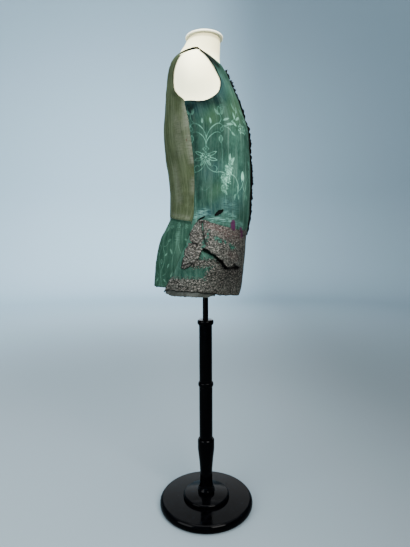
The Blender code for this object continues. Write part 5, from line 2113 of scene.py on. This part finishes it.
def smooth_profile(rows: Sequence[Turn], count: int) -> tuple[Turn, ...]:
    """A profile with rows on a smooth curve between the given ones."""
    dense = catmull(np.array(rows, float), [count] * (len(rows) - 1))
    return tuple(Turn(*row) for row in dense.tolist())


@dataclass
class Stand:
    """The base, the bored column and the sliding rod."""

    base_radius: float = 0.163
    base_top: float = 0.031
    disc_top: float = 0.045
    vase_top: float = 0.242
    lower_top: float = 0.429
    ring_top: float = 0.445
    upper_top: float = 0.645
    clamp_top: float = 0.662
    bore: float = 0.00995
    rod_radius: float = 0.00965
    rod_bottom: float = 0.462
    rod_top: float = 0.7897
    seam: float = 0.0003

    def pieces(self) -> list[Turned]:
        """Every turned piece of the stand, from the floor up."""
        black = {"slot": Slot.BLACK_LACQUER, "finish": BLACK, "body": "stand"}
        seam, bore = self.seam, self.bore
        vase = smooth_profile((
            Turn(0.0260, self.disc_top + seam), Turn(0.0295, 0.0500), Turn(0.0300, 0.0570),
            Turn(0.0265, 0.0640), Turn(0.0232, 0.0740), Turn(0.0215, 0.1000),
            Turn(0.0215, 0.1250), Turn(0.0240, 0.1600), Turn(0.0275, 0.1920),
            Turn(0.0290, 0.2090), Turn(0.0290, 0.2350), Turn(0.0262, self.vase_top)), 6)
        disc = (Turn(0.0790, self.base_top + seam), Turn(0.0810, self.base_top + 0.004),
                Turn(0.0800, self.disc_top - 0.004), Turn(0.0770, self.disc_top - 0.001),
                Turn(0.0750, self.disc_top))
        return [
            Turned("turned_base", rounded_rim(self.base_radius, 0.0, self.base_top, 0.012, 14),
                   nodes=("base",), steps=160, easing=0.0, **black),
            Turned("turned_disc", disc, nodes=("raised_disc",), steps=128, **black),
            Turned("turned_vase", vase, nodes=("column_vase",), easing=0.0, **black),
            Turned("column_lower", (Turn(0.023, self.vase_top + seam),
                                    Turn(0.023, self.lower_top - seam),
                                    Turn(bore, self.lower_top - seam),
                                    Turn(bore, self.vase_top + seam)),
                   nodes=("lower_tube",), bored=True, **black),
            Turned("column_ring", rounded_rim(0.0265, self.lower_top, self.ring_top, 0.003, 8)
                   + (Turn(bore, self.ring_top), Turn(bore, self.lower_top)),
                   nodes=("mid_ring",), bored=True, easing=0.0, **black),
            Turned("column_upper", (Turn(0.02225, self.ring_top + seam),
                                    Turn(0.02225, self.upper_top - seam),
                                    Turn(bore, self.upper_top - seam),
                                    Turn(bore, self.ring_top + seam)),
                   nodes=("upper_tube",), bored=True, **black),
            Turned("clamp_collar", rounded_rim(0.028, self.upper_top, self.clamp_top, 0.004, 8)
                   + (Turn(bore, self.clamp_top), Turn(bore, self.upper_top)),
                   nodes=("clamp_ring",), bored=True, easing=0.0, **black),
            Turned("sliding_rod", (Turn(self.rod_radius, self.rod_bottom),
                                   Turn(self.rod_radius, self.rod_top)),
                   slot=Slot.BLACK_STEEL, finish=STEEL, nodes=("rod",), body="rod", steps=64),
        ]

    def build(self) -> None:
        """Model and dress the stand."""
        for piece in self.pieces():
            piece.build()


@dataclass
class DressForm:
    """The limbless torso, its neck cap and its socket."""

    bottom: float = 0.800
    neck_top: float = 1.572
    cap_top: float = 1.580
    arm_angle: float = 98.5
    arm_half_angle: float = 36.0
    arm_level: float = 1.410
    arm_half_height: float = 0.074
    arm_bulge: float = 0.015
    around: int = 144
    rows: int = 150
    insets: tuple[tuple[float, float], ...] = (
        (0.800, 0.030), (0.860, 0.024), (0.930, 0.014), (0.985, 0.0080), (1.036, 0.0080),
        (1.090, 0.0042), (1.460, 0.0042), (1.492, 0.0062), (1.524, 0.0062), (1.548, 0.001),
        (1.572, 0.000))

    def torso(self) -> bpy.types.Object:
        """The smooth torso: a turned skin whose rings take the body's shape."""
        levels = np.linspace(self.bottom, self.neck_top, self.rows)
        skin = Turned("torso_form", [Turn(0.1, level) for level in levels], Slot.FORM_CREAM,
                      FORM, ("dress_form",), "form", steps=self.around, easing=0.0)
        piece = skin.spun()
        places = np.zeros(len(piece.data.vertices) * 3, np.float32)
        piece.data.vertices.foreach_get("co", places)
        places = places.reshape(-1, 3).astype(float)
        rim = np.hypot(places[:, 0], places[:, 1]) > 0.05
        angle = np.degrees(np.arctan2(places[rim, 1], places[rim, 0]))
        level = places[rim, 2]
        lift = -eased(self.insets, level)
        across = (np.abs(angle) - self.arm_angle) / self.arm_half_angle
        upward = (level - self.arm_level) / self.arm_half_height
        reach = np.clip(1.0 - across ** 2 - upward ** 2, 0.0, 1.0)
        lift = lift + self.arm_bulge * reach ** 2
        point = BODY.point(angle, level) + BODY.normal(angle, level) * lift[:, None]
        point[level <= self.bottom + 1e-5, 2] = self.bottom
        point[level >= self.neck_top - 1e-5, 2] = self.neck_top
        places[rim] = point
        piece.data.vertices.foreach_set("co", places.reshape(-1).astype(np.float32))
        piece.data.update()
        ease = piece.modifiers.new("eased_edges", "BEVEL")
        ease.width = 0.004
        ease.segments = 4
        ease.limit_method = "ANGLE"
        ease.angle_limit = math.radians(50.0)
        apply_modifiers(piece)
        piece.data.materials.append(FORM.material())
        select_only(piece)
        bpy.ops.object.shade_smooth_by_angle(angle=math.radians(60.0))
        attach(piece, "form", ("dress_form",))
        return piece

    def build(self) -> None:
        """Model and dress the torso, cap and socket."""
        self.torso()
        low = self.neck_top + 0.0003
        cap = (Turn(0.0460, low), Turn(0.0460, self.neck_top + 0.0020),
               Turn(0.0588, self.neck_top + 0.0020), Turn(0.0600, self.neck_top + 0.0034),
               Turn(0.0600, self.cap_top - 0.0022), Turn(0.0592, self.cap_top - 0.0006),
               Turn(0.0570, self.cap_top))
        Turned("neck_disc", cap, Slot.CAP_WHITE, CAP, ("neck_cap",), "form", steps=128,
               easing=0.0004).build()
        socket = (Turn(0.0260, 0.790), Turn(0.0300, 0.794), Turn(0.0300, 0.7997))
        Turned("rod_socket", socket, Slot.BLACK_LACQUER, BLACK, ("form_socket",), "form",
               easing=0.0006).build()


@dataclass
class Buttons:
    """The thread-covered buttons beside the closing."""

    count: int = 12
    top: float = 1.464
    pitch: float = 0.0437
    angle: float = 3.9
    radius: float = 0.0065
    height: float = 0.0072
    flutes: int = 16
    lift: float = 0.0006

    def pattern(self) -> bpy.types.Object:
        """One button at the origin: a shank, and a dome wrapped in radial threads."""
        rows = (Turn(0.55, 0.00), Turn(0.55, 0.26), Turn(0.90, 0.36), Turn(1.00, 0.48),
                Turn(0.97, 0.62), Turn(0.84, 0.80), Turn(0.58, 0.93), Turn(0.26, 0.99))
        profile = [Turn(row.radius * self.radius, row.height * self.height) for row in rows]
        dome = Turned("button_pattern", profile, Slot.BUTTON_DARK, THREAD, (), "form",
                      steps=self.flutes * 4, easing=0.0).spun()
        for vertex in dome.data.vertices:
            if vertex.co.z > 0.34 * self.height:
                turn = math.atan2(vertex.co.y, vertex.co.x)
                groove = 1.0 - 0.055 * (0.5 - 0.5 * math.cos(turn * self.flutes))
                vertex.co.x *= groove
                vertex.co.y *= groove
        return dome

    def build(self) -> None:
        """Copy the button to each place, each copy with its own mesh."""
        pattern = self.pattern()
        for number in range(self.count):
            level = self.top - self.pitch * number
            where = (np.array([self.angle]), np.array([level]))
            foot = BODY.cloth(*where, np.array([self.lift]))[0]
            outward = Vector(BODY.normal(*where)[0])
            button = pattern.copy()
            button.data = pattern.data.copy()
            button.name = f"covered_button_{number + 1:02d}"
            bpy.context.scene.collection.objects.link(button)
            turn = Vector((0.0, 0.0, 1.0)).rotation_difference(outward)
            button.rotation_mode = "QUATERNION"
            button.rotation_quaternion = turn
            button.location = foot
            select_only(button)
            bpy.ops.object.transform_apply(location=True, rotation=True, scale=True)
            button.data.materials.append(THREAD.material())
            bpy.ops.object.shade_smooth_by_angle(angle=math.radians(50.0))
            attach(button, "form", (f"button_{number + 1:02d}",))
        bpy.data.objects.remove(pattern, do_unlink=True)


@dataclass
class Waistcoat:
    """Every cloth piece of the garment."""

    seams: tuple[float, float] = (SEAM_HALF_ANGLE, SEAM_HALF_ANGLE)

    def front(self, side: Side) -> Panel:
        """One front panel; the right one is torn above its pocket."""
        kind = TornFront if side is Side.RIGHT else Panel
        return kind(
            name=f"silk_front_{side.word}", rows=FRONT_ROWS, side=side, slot=Slot.FIGURED_SILK,
            finish=SILK, nodes=(f"front_{side.word}",), columns=112, dips=HEM_DIPS,
            trims=(*self.seams, -SHOULDER_HALF_ANGLE), folds=FRONT_FOLDS,
            brocade=FRONT_BROCADE, cool=FRONT_COOL, worn=FRONT_WORN, dusk=FRONT_PAINTED_SHADING,
            stain=FRONT_STAIN if side is Side.RIGHT else (), vine=FRONT_VINE,
            sewn=("side_seam", "top"), bound=("arm", "low"), ragged=0.0010,
            edge_lift=0.0034, seed=11 if side is Side.RIGHT else 12)

    def back(self, side: Side) -> Panel:
        """One back panel."""
        return Panel(
            name=f"satin_back_{side.word}", rows=BACK_ROWS, side=side, slot=Slot.KHAKI_SATIN,
            finish=KHAKI, nodes=(f"back_{side.word}",), columns=62,
            trims=(*self.seams, SHOULDER_HALF_ANGLE), folds=BACK_FOLDS, worn=BACK_WORN,
            dusk=BACK_PAINTED_SHADING, stain=BACK_STAIN if side is Side.RIGHT else (),
            sewn=("inner", "side_seam", "top", "low"), bound=("arm",), from_back=True,
            seed=13 if side is Side.RIGHT else 14)

    def skirt(self, side: Side) -> Panel:
        """One back skirt."""
        return Panel(
            name=f"silk_skirt_{side.word}", rows=SKIRT_ROWS, side=side, slot=Slot.SKIRT_SILK,
            finish=SKIRT, nodes=(f"back_skirt_{side.word}",), columns=72, pitch=0.0028,
            lift_at=skirt_lift, trims=(2 * SEAM_HALF_ANGLE, 0.0, 0.0), folds=SKIRT_FOLDS,
            worn=SKIRT_WORN, dusk=SKIRT_PAINTED_SHADING,
            vine=(Patch(150.0, 0.98, 145.0, 0.80, 0.12, 0.9),),
            sewn=("top",), bound=("low",), ragged=0.0006,
            seed=15 if side is Side.RIGHT else 16)

    def flap(self, side: Side) -> Panel:
        """One pocket flap."""
        return PocketFlap(
            name=f"brocade_flap_{side.word}", rows=(), side=side, slot=Slot.METAL_BROCADE,
            finish=FLAP, nodes=(f"pocket_flap_{side.word}",), columns=0, folds=FLAP_FOLDS,
            dusk=FLAP_PAINTED_SHADING, stain=FRONT_STAIN if side is Side.RIGHT else (),
            relief=0.0004, grain=0.00032, inside=FACING, rests_on=(f"front_{side.word}",),
            seed=17 if side is Side.RIGHT else 18)

    def build(self) -> None:
        """Model every piece, right side then left."""
        for side in Side:
            self.front(side).build()
            self.back(side).build()
            self.skirt(side).build()
            self.flap(side).build()
        Panel(name="lining_hem_right", rows=LINING_ROWS, side=Side.RIGHT, slot=Slot.PALE_LINING,
              finish=LINING, nodes=("hem_lining_right",), columns=90, pitch=0.0016,
              lift_at=lining_lift, dips=LINING_DIPS, folds=LINING_FOLDS, ragged=0.0009,
              relief=0.0005, rests_on=("front_right",), seed=19).build()
        Panel(name="pocket_bag_torn", rows=POCKET_ROWS, side=Side.RIGHT, slot=Slot.DARK_FACING,
              finish=POCKET, nodes=("pocket_bag_right",), columns=36, lift_at=under_lift,
              relief=0.0002, inside=POCKET, rests_on=("front_right",), seed=20).build()
        ClosingFacing().build()
        Buttons().build()


# ---------------------------------------------------------------- stage


@dataclass(frozen=True)
class SoftLight:
    """A square soft light that looks at the garment."""

    name: str
    place: Point
    size: float
    power: float
    colour: Colour


@dataclass
class Studio:
    """The pale floor, the soft lights and the camera."""

    camera_place: Point = (-0.001, -1.410, 0.946)
    pitch_down: float = 5.13
    roll: float = -0.27
    lens: float = 27.62
    aim: Point = (0.0, 0.0, 1.05)
    sky: Colour = (0.70, 0.77, 0.84)
    sky_power: float = 4.2
    lights: tuple[SoftLight, ...] = (
        SoftLight("key_light", (1.5, -2.6, 2.6), 1.8, 375.0, (1.0, 0.985, 0.96)),
        SoftLight("fill_light", (-2.4, -2.0, 1.8), 2.0, 215.0, (0.97, 0.99, 1.0)),
        SoftLight("back_light", (0.0, 3.4, 2.6), 3.0, 90.0, (0.98, 0.99, 1.0)),
        SoftLight("top_light", (0.0, -0.3, 3.4), 2.2, 165.0, (1.0, 1.0, 1.0)),
    )

    def floor(self) -> None:
        """A pale floor that curves up into a low round wall."""
        profile = [Turn(0.05, -0.0004), Turn(5.0, -0.0004)]
        for k in range(1, 13):
            turn = math.pi / 2 * k / 12
            profile.append(Turn(5.0 + 1.8 * math.sin(turn), 1.8 - 1.8 * math.cos(turn)))
        profile.append(Turn(6.8, 8.0))
        path = [(0.0, 0.0, -0.0004)] + [(turn.radius, 0.0, turn.height) for turn in profile]
        mesh = bpy.data.meshes.new("studio_floor")
        mesh.from_pydata(path, [(i, i + 1) for i in range(len(path) - 1)], [])
        floor = bpy.data.objects.new("studio_floor", mesh)
        bpy.context.scene.collection.objects.link(floor)
        select_only(floor)
        bpy.ops.object.mode_set(mode="EDIT")
        bpy.ops.mesh.select_all(action="SELECT")
        bpy.ops.mesh.spin(steps=96, angle=2 * math.pi, center=(0, 0, 0), axis=(0, 0, 1))
        bpy.ops.mesh.select_all(action="SELECT")
        bpy.ops.mesh.remove_doubles(threshold=1e-5)
        bpy.ops.mesh.normals_make_consistent(inside=True)
        bpy.ops.object.mode_set(mode="OBJECT")
        bpy.ops.object.shade_smooth()
        floor.data.materials.append(FLOOR.material())

    def light(self, lamp: SoftLight) -> None:
        """One soft light."""
        data = bpy.data.lights.new(lamp.name, "AREA")
        data.shape = "SQUARE"
        data.size = lamp.size
        data.energy = lamp.power
        data.color = lamp.colour
        made = bpy.data.objects.new(lamp.name, data)
        made.location = lamp.place
        away = Vector(lamp.place) - Vector(self.aim)
        made.rotation_mode = "QUATERNION"
        made.rotation_quaternion = away.to_track_quat("Z", "Y")
        bpy.context.scene.collection.objects.link(made)

    def camera(self) -> None:
        """The camera at the photograph's place."""
        data = bpy.data.cameras.new("photo_camera")
        data.lens = self.lens
        data.sensor_width = 36.0
        made = bpy.data.objects.new("photo_camera", data)
        made.location = self.camera_place
        look = Euler((math.radians(90.0 - self.pitch_down), 0.0, 0.0)).to_quaternion()
        tip = Euler((0.0, 0.0, math.radians(self.roll))).to_quaternion()
        made.rotation_mode = "QUATERNION"
        made.rotation_quaternion = look @ tip
        bpy.context.scene.collection.objects.link(made)
        bpy.context.scene.camera = made

    def build(self) -> None:
        """Set up the whole stage."""
        world = bpy.data.worlds.new("studio_air")
        world.use_nodes = True
        air = world.node_tree.nodes["Background"]
        air.inputs[0].default_value = (*self.sky, 1.0)
        air.inputs[1].default_value = self.sky_power
        bpy.context.scene.world = world
        self.floor()
        for lamp in self.lights:
            self.light(lamp)
        self.camera()


def main() -> None:
    """Build the stage, the stand, the form and the garment."""
    logging.basicConfig(level=logging.INFO, format="%(name)s %(message)s")
    Studio().build()
    Stand().build()
    DressForm().build()
    Waistcoat().build()


if __name__ == "__main__":
    main()
